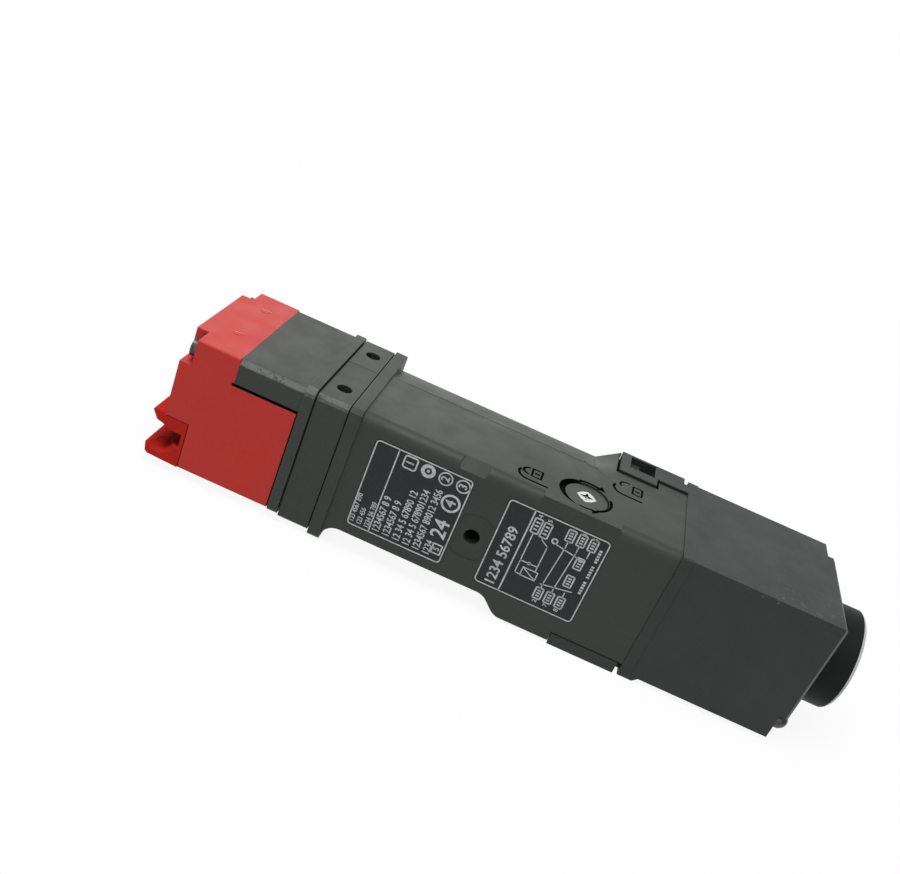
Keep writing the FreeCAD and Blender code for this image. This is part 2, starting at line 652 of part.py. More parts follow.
def build_mounting_block():
    """Mould the block that carries the two mounting holes between the head and the case."""
    body = new_body("mounting_block")
    outline = new_sketch(body, "block_outline", "end", "block_top")
    add_polygon(outline, clipped_rectangle("half_width", "block_back", "front_face",
                                           "edge_break"))
    pad(body, "block", outline, "block_length")
    holes = new_sketch(body, "mount_holes", "top", "front_face")
    for side in ("-", ""):
        add_circle(holes, "block_middle", f"{side}mount_hole_spacing / 2", "mount_hole_radius")
    pocket(body, "mount_hole_cut", holes, "front_face + 1")
    chamber = new_sketch(body, "chamber_outline", "end", "block_top")
    add_circle(chamber, "0", "cam_height", "chamber_radius")
    add_circle(chamber, "rod_offset", "rod_height", "rod_radius + 0.3")
    pocket(body, "chamber", chamber, "block_length + 1", reverse=True)
    top = new_sketch(body, "head_screw_bores", "end", "block_top")
    for side in ("-", ""):
        add_circle(top, f"{side}head_screw_row", "head_screw_height",
                   "screw_radius + running_gap")
    pocket(body, "head_screw_cut", top, "thread_depth", reverse=True)
    foot = new_sketch(body, "block_screw_bores", "end", "block_foot")
    for y, z in BLOCK_SCREWS:
        add_circle(foot, y, z, "screw_radius + running_gap")
    pocket(body, "block_screw_cut", foot, "thread_depth")
    line = new_sketch(body, "parting_line", "end", "block_top")
    add_polygon(line, rectangle("parting_offset", "front_face - parting_groove",
                                "parting_offset + parting_groove", "front_face + 1"))
    pocket(body, "parting_groove_cut", line, "block_length + 1", reverse=True)


def build_gasket(label, place, holes):
    """Cut a flat gasket that lies between two housing faces, set in from their outline."""
    body = new_body(label)
    outline = new_sketch(body, f"{label}_outline", "end", place)
    add_polygon(outline, clipped_rectangle("half_width - edge_break", "head_back + 0.8",
                                           "front_face - edge_break", "edge_break"))
    for y, z, radius in holes:
        add_circle(outline, y, z, radius)
    pad(body, f"{label}_sheet", outline, "gasket")


def build_gaskets():
    """Cut the gaskets under the head and under the mounting block."""
    working = [("0", "cam_height", "chamber_radius"),
               ("rod_offset", "rod_height", "rod_radius + 0.3")]
    screws = [(f"{side}head_screw_row", "head_screw_height", "screw_radius + 0.2")
              for side in ("-", "")]
    build_gasket("head_gasket", "block_top - gasket", working + screws)
    build_gasket("block_gasket", "block_foot", working + [
        (y, z, "screw_radius + 0.2") for y, z in BLOCK_SCREWS])


# ---------------------------------------------------------------- head

def build_head_base():
    """Mould the black base of the head: collar, front hood and the two cam cheeks."""
    body = new_body("head_base")
    collar = new_sketch(body, "collar_outline", "end", "collar_top")
    add_polygon(collar, clipped_rectangle("half_proud", "head_back - proud", "front_proud",
                                          "rib_chamfer"))
    pad(body, "collar", collar, "collar_length")
    hood = new_sketch(body, "hood_outline", "end", "collar_top")
    shoulder, crown = "front_face - hood_chamfer", "half_width - hood_chamfer"
    add_polygon(hood, [("-half_width", "hood_floor"), ("half_width", "hood_floor"),
                       ("half_width", shoulder), (crown, "front_face"),
                       (f"-({crown})", "front_face"), ("-half_width", shoulder)])
    pad(body, "hood", hood, "hood_length", reverse=True)

    cheek = new_sketch(body, "cheek_profile", "side")
    add_polygon(cheek, rectangle("cam_place - cheek_reach", "cam_height - cheek_half_height",
                                 "collar_top", "cam_height + cheek_half_height"))
    pad(body, "cheeks", cheek, "cheek_gap + 2 * cheek_thickness", both=True)
    between = new_sketch(body, "cheek_gap_profile", "side")
    add_polygon(between, rectangle("cam_place - cheek_reach - 1",
                                   "cam_height - cheek_half_height - 1",
                                   "collar_top", "cam_height + cheek_half_height + 1"))
    pocket(body, "cheek_gap_cut", between, "cheek_gap", both=True)
    bearing = new_sketch(body, "bearing_profile", "side")
    add_circle(bearing, "cam_place", "cam_height", "cam_shaft_radius + running_gap")
    pocket(body, "bearing_cut", bearing, "body_width", both=True)

    bores = new_sketch(body, "collar_bores", "end", "collar_top")
    add_circle(bores, "0", "cam_height", "plunger_radius + running_gap")
    add_circle(bores, "rod_offset", "rod_height", "rod_radius + running_gap")
    pocket(body, "collar_bore_cut", bores, "collar_length + 1", reverse=True)
    chamber = new_sketch(body, "flange_chamber", "end", "collar_foot")
    add_circle(chamber, "0", "cam_height", "chamber_radius")
    pocket(body, "flange_chamber_cut", chamber, "collar_length - 1")
    screws = new_sketch(body, "hood_screw_bores", "end", "hood_end")
    for side in ("-", ""):
        add_circle(screws, f"{side}head_screw_row", "head_screw_height", "screw_radius + 0.2")
    pocket(body, "hood_screw_cut", screws, "hood_length + collar_length + 1", reverse=True)


def build_head_cover():
    """Mould the red head cover, open to the collar and cut away for the hood and key guide."""
    body = new_body("head_cover")
    profile = new_sketch(body, "head_profile", "side")
    add_polygon(profile, [
        ("collar_top", "head_back"), ("guide_place", "head_back"), ("guide_place", "guide_top"),
        ("head_end", "guide_top"), ("head_end", "front_face"), ("hood_end", "front_face"),
        ("hood_end", "head_step"), ("collar_top", "head_step")])
    block = pad(body, "head_block", profile, "body_width", both=True)
    side, front = value("half_width"), value("front_face")
    edges = pick_edges(block, lambda p, e: close_to(abs(p.y), side) and (
        close_to(p.z, value("head_back")) or close_to(p.z, front)))
    dress(body, "PartDesign::Fillet", "head_edges", block, edges, "edge_break * 0.7")
    recess = new_sketch(body, "corner_recesses", "end", "head_end")
    for sign in (-1, 1):
        low, high = (f"{sign} * (half_width + 1)", f"{sign} * corner_inner")
        add_polygon(recess, rectangle(low, "corner_low", high, "front_face + 1"))
    pocket(body, "corner_recess_cut", recess, "corner_recess", reverse=True)
    screws = new_sketch(body, "head_screw_holes", "end", "head_end")
    for sign in ("-", ""):
        add_circle(screws, f"{sign}head_screw_row", "head_screw_height", "screw_radius + 0.2")
    pocket(body, "head_screw_hole_cut", screws, "head_length", reverse=True)
    cavity = new_sketch(body, "head_cavity", "end", "collar_top")
    half = "head_cavity_width / 2"
    add_polygon(cavity, rectangle(f"-{half}", "head_cavity_floor", half, "head_cavity_roof"))
    pocket(body, "head_cavity_cut", cavity, "head_length - guide_length")
    well = new_sketch(body, "cam_well", "side")
    add_circle(well, "cam_place", "cam_height", "cam_radius + 0.9")
    pocket(body, "cam_well_cut", well, "cheek_gap", both=True)


def build_key_guide():
    """Mould the red key guide: two lips round a full-width channel, and both key slots."""
    body = new_body("key_guide")
    profile = new_sketch(body, "guide_profile", "side")
    add_polygon(profile, [
        ("guide_place", "head_back"), ("lip_end + 1.2", "head_back + 0.4"),
        ("lip_end + 0.4", "head_back + 1.1"), ("lip_end", "head_back + lower_lip_height"),
        ("slot_bottom - 2.4", "slot_floor"), ("slot_bottom", "slot_floor"),
        ("slot_bottom", "slot_roof"), ("slot_bottom - 3.4", "slot_roof"),
        ("head_end - 0.3", "slot_roof + 1.2"), ("head_end - 1.8", "slot_roof + 1.6"),
        ("lip_end", "lip_top - 0.3"), ("lip_end + 0.3", "lip_top"), ("head_end", "lip_top"),
        ("head_end", "guide_top"), ("guide_place", "guide_top")])
    pad(body, "guide_block", profile, "body_width", both=True)
    slot = new_sketch(body, "end_slot", "end", "guide_place")
    add_polygon(slot, rectangle("-slot_width / 2", "slot_floor", "slot_width / 2", "slot_roof"))
    pocket(body, "end_slot_cut", slot, "slot_wall + 0.5")
    back = new_sketch(body, "back_slot", "top", "head_back")
    far = "guide_place - back_slot_inset"
    add_polygon(back, rectangle(f"{far} - slot_height", "-slot_width / 2", far,
                                "slot_width / 2"))
    pocket(body, "back_slot_cut", back, "slot_floor - head_back + 0.5", reverse=True)
    relief = new_sketch(body, "cam_relief", "side")
    add_circle(relief, "cam_place", "cam_height", "cam_radius + 0.6")
    pocket(body, "cam_relief_cut", relief, "cam_width + 1.2", both=True)
    for name, turn, place in (("near", -90, "-half_width"), ("far", 90, "half_width")):
        mouth = body.newObject("PartDesign::SubtractiveCone", f"scoop_{name}")
        mouth.Placement = FreeCAD.Placement(Vector(), Rotation(Vector(1, 0, 0), turn))
        bind(mouth, {"Radius1": "scoop_mouth", "Radius2": "slot_height / 2 - 0.6",
                     "Height": "scoop_run", "Placement.Base.x": "head_end + 0.4",
                     "Placement.Base.y": place, "Placement.Base.z": "slot_floor + 0.35"})


def build_operating_cam():
    """Cut the cam: a round edge, a falling ramp for the plunger, a key notch and a lock lug."""
    body = new_body("operating_cam")
    sketch = new_sketch(body, "cam_profile", "side", "0", ("cam_place", "cam_height"))
    radius, floor = value("cam_radius"), value("ramp_floor_radius")
    start, foot, heel, end = (math.radians(a) for a in (3, -57, -75, -78))
    rim = Part.ArcOfCircle(Part.Circle(Vector(), Vector(0, 0, 1), radius), start,
                           end + 2 * math.pi)
    points = [polar(radius, end), polar(floor, heel), polar(floor, foot), polar(radius, start)]
    sketch.addGeometry(rim)
    for first, second in zip(points, points[1:]):
        sketch.addGeometry(Part.LineSegment(first, second))
    links = [(0, 2, 1, 1), (1, 2, 2, 1), (2, 2, 3, 1), (3, 2, 0, 1)]
    for first, at_first, second, at_second in links:
        sketch.addConstraint(Sketcher.Constraint("Coincident", first, at_first, second,
                                                 at_second))
    fix_point(sketch, 0, 3, "0", "0")
    fix_point(sketch, 1, 1, "cam_radius * cos(-78 deg)", None)
    for geometry, size, angle in ((0, "cam_radius", 3), (2, "ramp_floor_radius", -75),
                                  (3, "ramp_floor_radius", -57)):
        fix_point(sketch, geometry, 1, f"{size} * cos({angle} deg)", f"{size} * sin({angle} deg)")
    pad(body, "cam_disc", sketch, "cam_width", both=True)

    lug = new_sketch(body, "lug_profile", "side", "cam_width / 2 + lug_width",
                     ("cam_place", "cam_height"))
    add_polygon(lug, [polar_text("4.4", 20), polar_text("lug_radius", 20),
                      polar_text("lug_radius", 33), polar_text("lug_radius", 45),
                      polar_text("4.4", 45)])
    pad(body, "lock_lug", lug, "lug_width")
    hub = new_sketch(body, "hub_profile", "side", "cam_width / 2 + lug_width",
                     ("cam_place", "cam_height"))
    add_circle(hub, "0", "0", "cam_shaft_radius + 2.2")
    pad(body, "hub", hub, "lug_width")
    notch = new_sketch(body, "key_notch", "side", "0", ("cam_place", "cam_height"))
    add_circle(notch, "cam_radius * cos(225 deg)", "cam_radius * sin(225 deg)",
               "key_notch_radius")
    pocket(body, "key_notch_cut", notch, "cam_width + 1", both=True)
    bore = new_sketch(body, "cam_bore", "side", "0", ("cam_place", "cam_height"))
    add_circle(bore, "0", "0", "cam_shaft_radius")
    pocket(body, "cam_bore_cut", bore, "2 * (cam_width + 2 * lug_width)", both=True)


def polar(radius, angle):
    """Return a point at a radius and an angle in radians."""
    return Vector(radius * math.cos(angle), radius * math.sin(angle), 0)


def polar_text(radius, degrees):
    """Return the formulas of a point at a radius and an angle in degrees."""
    cosine, sine = math.cos(math.radians(degrees)), math.sin(math.radians(degrees))
    return f"{radius} * {cosine:.5f}", f"{radius} * {sine:.5f}"


def build_head_small_parts():
    """Make the cam shaft and the two head screws."""
    half = "(cheek_gap / 2 + cheek_thickness + 0.7)"
    shaft = rod("cam_shaft", "y", ("cam_place", f"-{half}", "cam_height"), "cam_shaft_radius",
                f"2 * {half}")
    keep(shaft, "cam_shaft")
    reach = "block_top - corner_floor + thread_depth - 0.6"
    group("head_screws", [
        cross_head_screw(f"head_screw_{name}",
                         ("corner_floor", f"{sign}head_screw_row", "head_screw_height"),
                         "+", reach)
        for name, sign in (("near", "-"), ("far", ""))])


# ---------------------------------------------------------------- plunger, rod and contacts

def build_contact_plunger():
    """Turn the plunger: slim nose on the cam, guided stem, spring flange and thin tail."""
    turned("contact_plunger", "x", ("0", "cam_height"), [
        ("nose_tip", "0"), ("nose_tip", "plunger_nose * 0.5"),
        ("nose_tip + plunger_nose * 0.5", "plunger_nose"),
        ("nose_tip + nose_length", "plunger_nose"), ("nose_tip + nose_length", "plunger_radius"),
        ("flange_place", "plunger_radius"), ("flange_place", "flange_radius"),
        ("flange_place + flange_width", "flange_radius"),
        ("flange_place + flange_width", "plunger_radius"),
        ("housing_place - 1", "plunger_radius"), ("housing_place - 1", "tail_radius"),
        ("housing_place + plunger_tail", "tail_radius"), ("housing_place + plunger_tail", "0")])
    coil_spring("plunger_spring", ("flange_place + flange_width", "0", "cam_height"),
                "case_head - flange_place - flange_width", "flange_radius - 0.7",
                "spring_wire", "spring_turns")
    seal_bore = "plunger_radius + running_gap"
    turned("plunger_seal", "x", ("0", "cam_height"), [
        ("case_head", seal_bore), ("case_head + seal_depth", seal_bore),
        ("case_head + seal_depth", "chamber_radius"), ("case_head", "chamber_radius")])


def contact_housing(label, centre, half, floor, roof, shaft, shaft_height):
    """Make a moulded contact housing: a box, hollow and open to the conduit end, with a bore."""
    outer = box(f"{label}_outer", ("housing_place", f"{centre} - {half}", floor),
                ("housing_length", f"2 * {half}", f"{roof} - ({floor})"))
    inner = box(f"{label}_hollow",
                ("housing_place + housing_wall", f"{centre} - {half} + housing_wall",
                 f"{floor} + housing_wall"),
                ("housing_length", f"2 * ({half} - housing_wall)",
                 f"{roof} - ({floor}) - 2 * housing_wall"))
    bore = rod(f"{label}_bore", "x", ("housing_place - 1", centre, shaft_height), shaft,
               "housing_wall + 2")
    return keep(cut(label, outer, [inner, bore]), label)


def build_contact_sets():
    """Make both contact sets: housings, fixed blades with studs, and moving bridges."""
    contact_housing("contact_housing", "0", "housing_half_width", "cavity_floor",
                    "housing_roof", "plunger_radius + running_gap", "cam_height")
    contact_housing("lock_contact_housing", "rod_offset", "lock_housing_half_width",
                    "housing_roof", "lock_housing_roof", "rod_radius + running_gap",
                    "rod_height")
    bridges, fixed = [], []
    for number, name in enumerate(("first", "second")):
        place = f"(bridge_place + {number} * bridge_pitch)"
        bridges.append(bridge(f"{name}_bridge", place, "0", "cam_height",
                              "bridge_half_length", "tail_radius"))
        fixed += blades(name, place, "plunger_travel", "0", "bridge_half_length",
                        "housing_half_width - housing_wall", "cam_height")
    group("contact_bridges", bridges)
    group("fixed_contacts", fixed)
    lock_place = "(bridge_place + bridge_pitch)"
    keep(bridge("lock_bridge", lock_place, "rod_offset", "rod_height",
                "lock_bridge_half_length", "rod_radius"), "lock_bridge")
    group("lock_fixed_contacts", blades(
        "lock", lock_place, "lock_travel", "rod_offset", "lock_bridge_half_length",
        "lock_housing_half_width - housing_wall", "rod_height"))


def bridge(name, place, centre, height, half, bore):
    """Make a moving contact strip across its rod, with a stud near each end."""
    strip = box(f"{name}_strip", (place, f"{centre} - {half}", f"{height} - bridge_height / 2"),
                ("bridge_thickness", f"2 * {half}", "bridge_height"))
    studs = [rod(f"{name}_stud_{end}", "x",
                 (f"{place} - contact_gap", f"{centre} {sign} ({half} - contact_radius)",
                  height), "contact_radius", "contact_gap + bridge_thickness / 2")
             for end, sign in (("near", "-"), ("far", "+"))]
    hole = rod(f"{name}_hole", "x", (f"{place} - 1", centre, height), bore,
               "bridge_thickness + 2")
    return cut(name, joined(f"{name}_blank", [strip] + studs), [hole])


def blades(name, place, travel, centre, half, wall, height):
    """Make the two fixed blades that a bridge meets at the end of its travel."""
    items = []
    for end, sign in (("near", "-"), ("far", "+")):
        stud_face = f"({place} - contact_gap - {travel} - contact_gap)"
        middle = f"{centre} {sign} ({half} - contact_radius)"
        edge = f"{centre} {sign} ({wall})"
        inner = f"{centre} {sign} ({half} - 2 * contact_radius)"
        low = edge if sign == "-" else inner
        blade = box(f"{name}_blade_{end}",
                    (f"{stud_face} - blade_thickness - contact_gap", low,
                     f"{height} - contact_radius"),
                    ("blade_thickness", f"{wall} - {half} + 2 * contact_radius",
                     "2 * contact_radius"))
        stud = rod(f"{name}_fixed_stud_{end}", "x",
                   (f"{stud_face} - contact_gap", middle, height), "contact_radius * 0.9",
                   "contact_gap")
        items.append(joined(f"{name}_contact_{end}", [blade, stud]))
    return items


def build_lock_train():
    """Make the lock rod, its link with the slotted arm, and the solenoid plunger."""
    keep(rod("lock_rod", "x", ("rod_tip", "rod_offset", "rod_height"), "rod_radius",
             "link_place - rod_tip"), "lock_rod")
    body = new_body("lock_link")
    link = new_sketch(body, "link_outline", "end", "link_place")
    low = "solenoid_height - core_radius - 1"
    arm = "rod_height - plate_drop"
    add_polygon(link, [
        ("-(release_offset + plate_edge)", arm), ("solenoid_offset - core_radius", arm),
        ("solenoid_offset - core_radius", low), ("solenoid_offset + core_radius", low),
        ("solenoid_offset + core_radius", "rod_height + rod_radius + 0.6"),
        ("solenoid_offset - core_radius", "rod_height + rod_radius + 0.6"),
        ("solenoid_offset - core_radius", f"{arm} + link_plate"),
        ("-(release_offset + plate_edge)", f"{arm} + link_plate")])
    pad(body, "link", link, "link_thickness")
    plate = new_sketch(body, "arm_outline", "top", arm)
    stroke = "(crank_radius + seat_gap)"
    add_polygon(plate, rectangle(
        "link_place + link_thickness", "-(release_offset + plate_edge)",
        f"release_place + {stroke} + lock_travel + 2.5", "-(release_offset - plate_edge)"))
    pad(body, "arm", plate, "link_plate")
    window = new_sketch(body, "arm_window", "top", arm)
    add_polygon(window, rectangle(
        f"release_place - {stroke}", f"-(release_offset + {stroke})",
        f"release_place + {stroke} + lock_travel", f"-(release_offset - {stroke})"))
    pocket(body, "arm_window_cut", window, "link_plate + 1", reverse=True)
    core = rod("solenoid_plunger_core", "x",
               ("link_place + link_thickness", "solenoid_offset", "solenoid_height"),
               "core_radius", "core_face - seat_gap - link_place - link_thickness")
    well = rod("solenoid_plunger_well", "x",
               ("core_face - seat_gap - 9", "solenoid_offset", "solenoid_height"),
               "lock_spring_radius + 0.6", "12")
    keep(cut("solenoid_plunger", core, [well]), "solenoid_plunger")
    coil_spring("lock_spring", ("core_face - seat_gap - 9", "solenoid_offset",
                                "solenoid_height"), "9 + seat_gap",
                "lock_spring_radius", "spring_wire", "lock_spring_turns")


def build_solenoid():
    """Make the solenoid: closed frame, bobbin, winding and fixed core."""
    half = "frame_width / 2"
    outer = box("frame_outer", ("frame_place", f"solenoid_offset - {half}", "cavity_floor"),
                ("frame_length", "frame_width", "frame_height"))
    inner = box("frame_inner",
                ("frame_place + frame_thickness", f"solenoid_offset - {half} - 1",
                 "cavity_floor + frame_thickness"),
                ("frame_length - 2 * frame_thickness", "frame_width + 2",
                 "frame_height - 2 * frame_thickness"))
    mouth = rod("frame_mouth", "x", ("frame_place - 1", "solenoid_offset", "solenoid_height"),
                "core_radius + running_gap", "frame_thickness + 2")
    seat = rod("frame_core_seat", "x",
               ("frame_end - frame_thickness - 1", "solenoid_offset", "solenoid_height"),
               "core_radius", "frame_thickness + 2")
    keep(cut("solenoid_frame", outer, [inner, mouth, seat]), "solenoid_frame")
    keep(rod("solenoid_core", "x", ("core_face", "solenoid_offset", "solenoid_height"),
             "core_radius", "core_length"), "solenoid_core")
    left, right = "frame_place + frame_thickness", "frame_end - frame_thickness"
    bore = "core_radius + running_gap"
    turned("solenoid_bobbin", "x", ("solenoid_offset", "solenoid_height"), [
        (left, bore), (left, "bobbin_radius"), (f"{left} + bobbin_flange", "bobbin_radius"),
        (f"{left} + bobbin_flange", "bobbin_tube"), (f"{right} - bobbin_flange", "bobbin_tube"),
        (f"{right} - bobbin_flange", "bobbin_radius"), (right, "bobbin_radius"),
        (right, bore)])
    turned("solenoid_coil", "x", ("solenoid_offset", "solenoid_height"), [
        (f"{left} + bobbin_flange", "bobbin_tube"), (f"{left} + bobbin_flange", "coil_radius"),
        (f"{right} - bobbin_flange", "coil_radius"), (f"{right} - bobbin_flange", "bobbin_tube")])


# ---------------------------------------------------------------- release

def build_release():
    """Make the release selector, its insert, crank shaft, seal and clip."""
    place = ("release_place", "-release_offset")
    disc = turned("release_selector", "z", place, [
        ("0", "shaft_tip"), ("shaft_radius", "shaft_tip"),
        ("shaft_radius", "cavity_roof - clip_thickness - 0.1"),
        ("shaft_radius - clip_groove", "cavity_roof - clip_thickness - 0.1"),
        ("shaft_radius - clip_groove", "cavity_roof - 0.1"), ("shaft_radius", "cavity_roof - 0.1"),
        ("shaft_radius", "selector_seat"), ("selector_radius", "selector_seat"),
        ("selector_radius", "selector_top - 0.4"), ("selector_radius - 0.4", "selector_top"),
        ("0", "selector_top")])
    seat = new_sketch(disc, "insert_seat", "top", "selector_top")
    half = "insert_width / 2"
    add_polygon(seat, diamond(half))
    pocket(disc, "insert_seat_cut", seat, "insert_depth")
    crank = new_sketch(disc, "crank_pin_outline", "top", "shaft_tip")
    add_circle(crank, "release_place - crank_radius + crank_pin", "-release_offset", "crank_pin")
    pad(disc, "crank_pin_pad", crank, "shaft_tip - crank_pin_tip", reverse=True)

    insert = new_body("release_insert")
    outline = new_sketch(insert, "insert_outline", "top", "selector_top - insert_depth")
    add_polygon(outline, diamond(half))
    pad(insert, "insert_pad", outline, "insert_depth")
    recess = new_sketch(insert, "insert_recess", "top", "selector_top")
    add_circle(recess, "release_place", "-release_offset", "insert_hex")
    pocket(insert, "insert_recess_cut", recess, "insert_depth * 0.7")
    bore = "shaft_radius + running_gap"
    turned("release_seal", "z", place, [
        (bore, "cavity_roof"), ("shaft_radius + seal_depth", "cavity_roof"),
        ("shaft_radius + seal_depth", "cavity_roof + seal_depth"),
        (bore, "cavity_roof + seal_depth")])
    turned("release_clip", "z", place, [
        ("shaft_radius - clip_groove", "cavity_roof - clip_thickness - 0.1"),
        ("clip_radius", "cavity_roof - clip_thickness - 0.1"),
        ("clip_radius", "cavity_roof - 0.1"), ("shaft_radius - clip_groove", "cavity_roof - 0.1")])


def diamond(half):
    """Outline the square insert, standing on its corner along X."""
    reach = f"{half} * 1.3"
    return [(f"release_place - {reach}", "-release_offset"),
            ("release_place", f"-release_offset - {half}"),
            (f"release_place + {reach}", "-release_offset"),
            ("release_place", f"-release_offset + {half}")]


# ---------------------------------------------------------------- terminal cover and its inside

def build_terminal_cover():
    """Mould the terminal cover: a hollow cap with a raised band, two screw posts and two arms."""
    body = new_body("terminal_cover")
    outline = new_sketch(body, "cover_outline", "end", "cover_seam")
    add_polygon(outline, rectangle("-half_width", "cover_back", "half_width", "front_face"))
    block = pad(body, "cover_block", outline, "cover_length")
    end = value("cover_end")
    dress(body, "PartDesign::Chamfer", "cover_end_bevel", block,
          pick_edges(block, lambda p, e: close_to(p.x, end)), "end_chamfer")
    band = new_sketch(body, "band_outline", "end", "cover_seam")
    add_polygon(band, clipped_rectangle("half_width + band_proud", "0",
                                        "front_face + band_proud", "edge_break * 0.5"))
    pad(body, "band", band, "band_length")
    foot = new_sketch(body, "foot_profile", "side")
    add_polygon(foot, [("cover_seam", "0"), ("cover_seam + foot_length - 1.4", "0"),
                       ("cover_seam + foot_length", "cover_back"), ("cover_seam", "cover_back")])
    pad(body, "foot", foot, "body_width", both=True)
    hollow = new_sketch(body, "cover_hollow", "end", "cover_seam")
    add_polygon(hollow, cover_hollow_outline())
    pocket(body, "cover_hollow_cut", hollow, "cover_length - end_wall", reverse=True)
    bore = new_sketch(body, "conduit_bore", "end", "cover_end")
    add_circle(bore, "0", "conduit_height", "conduit_radius")
    pocket(body, "conduit_bore_cut", bore, "end_wall + 1")
    add_cover_screw_seats(body)
    add_latch_arms(body)


def cover_hollow_outline():
    """Outline the hollow of the cover: deeper than the case, round the same screw posts."""
    low, roof, wide = "cover_back + cover_wall", "front_face - cover_wall", "cavity_half"
    return [(f"-({wide})", roof), ("post_row", roof), ("post_row", "post_height"),
            (wide, "post_height"), (wide, low), ("-(post_row)", low),
            ("-(post_row)", "post_height_back"), (f"-({wide})", "post_height_back")]


def add_cover_screw_seats(body):
    """Cut the two corner seats and bores of the cover screws."""
    seats = new_sketch(body, "screw_seats", "end", "cover_end")
    add_polygon(seats, rectangle("half_width - screw_cut", "front_face - screw_cut - 1.2",
                                 "half_width + 1", "front_face + 1"))
    add_polygon(seats, rectangle("-half_width - 1", "case_back - 1",
                                 "-(half_width - screw_cut)", "case_back + screw_cut + 1.2"))
    pocket(body, "screw_seat_cut", seats, "screw_cut_depth")
    bores = new_sketch(body, "cover_screw_bores", "end", "cover_end")
    add_circle(bores, "screw_row", "screw_height", "screw_radius + 0.2")
    add_circle(bores, "-screw_row", "screw_height_back", "screw_radius + 0.2")
    pocket(body, "cover_screw_bore_cut", bores, "cover_length + 1")


def add_latch_arms(body):
    """Grow the two latch arms, cut their windows and notch them at the seam."""
    for name, side, level, thickness in (
            ("front", 1, "front_face - arm_depth + arm_gap", "arm_depth - arm_gap + proud"),
            ("back", -1, "case_back + arm_depth - arm_gap",
             "arm_depth - arm_gap + case_back")):
        arm = new_sketch(body, f"arm_{name}", "top", level)
        add_polygon(arm, arm_outline(side, "0"))
        pad(body, f"arm_pad_{name}", arm, thickness, reverse=side < 0)
        window = new_sketch(body, f"window_{name}", "top", level)
        low = "frame_plate_end + window_inset"
        add_polygon(window, rectangle(
            low, f"{side} * (frame_plate_inner + window_margin)", f"{low} + window_length",
            f"{side} * (half_width - 0.6)"))
        pocket(body, f"window_cut_{name}", window, "arm_depth + 2", reverse=side > 0)
        notch = new_sketch(body, f"seam_notch_{name}", "top", level)
        add_polygon(notch, rectangle(
            "cover_seam - notch_length", f"{side} * (half_width - notch_width)", "cover_seam",
            f"{side} * (half_width + 1)"))
        pocket(body, f"seam_notch_cut_{name}", notch, "arm_depth + 2", reverse=side > 0)


def build_cover_fasteners():
    """Make the two long cover screws and their threaded inserts."""
    seat = "cover_end - screw_cut_depth"
    reach = "cover_length - screw_cut_depth + insert_length - 1"
    corners = (("far", "screw_row", "screw_height"), ("near", "-screw_row", "screw_height_back"))
    group("cover_screws", [cross_head_screw(f"cover_screw_{name}", (seat, y, z), "-", reach)
                           for name, y, z in corners])
    group("screw_inserts", [
        cut(f"insert_{name}", rod(f"insert_{name}_body", "x", ("insert_end", y, z),
                                  "insert_radius", "insert_length"),
            [rod(f"insert_{name}_bore", "x", ("insert_end - 1", y, z),
                 "screw_radius + running_gap", "insert_length + 2")])
        for name, y, z in corners])
    group("block_screws", [
        cross_head_screw(f"block_screw_{number}", ("cavity_head", y, z), "-",
                         "cavity_head_wall + gasket + thread_depth - 0.6")
        for number, (y, z) in enumerate(BLOCK_SCREWS)])


def build_cover_seal():
    """Make the sealing ring that bridges the joint between the case and its cover."""
    body = new_body("cover_seal")
    ring = new_sketch(body, "seal_outline", "end", "cover_seam - seal_half_width")
    add_polygon(ring, cavity_outline("cavity_roof", "0.1"))
    add_polygon(ring, cavity_outline("cavity_roof", "(0.1 + seal_thickness)"))
    pad(body, "seal_ring", ring, "2 * seal_half_width")


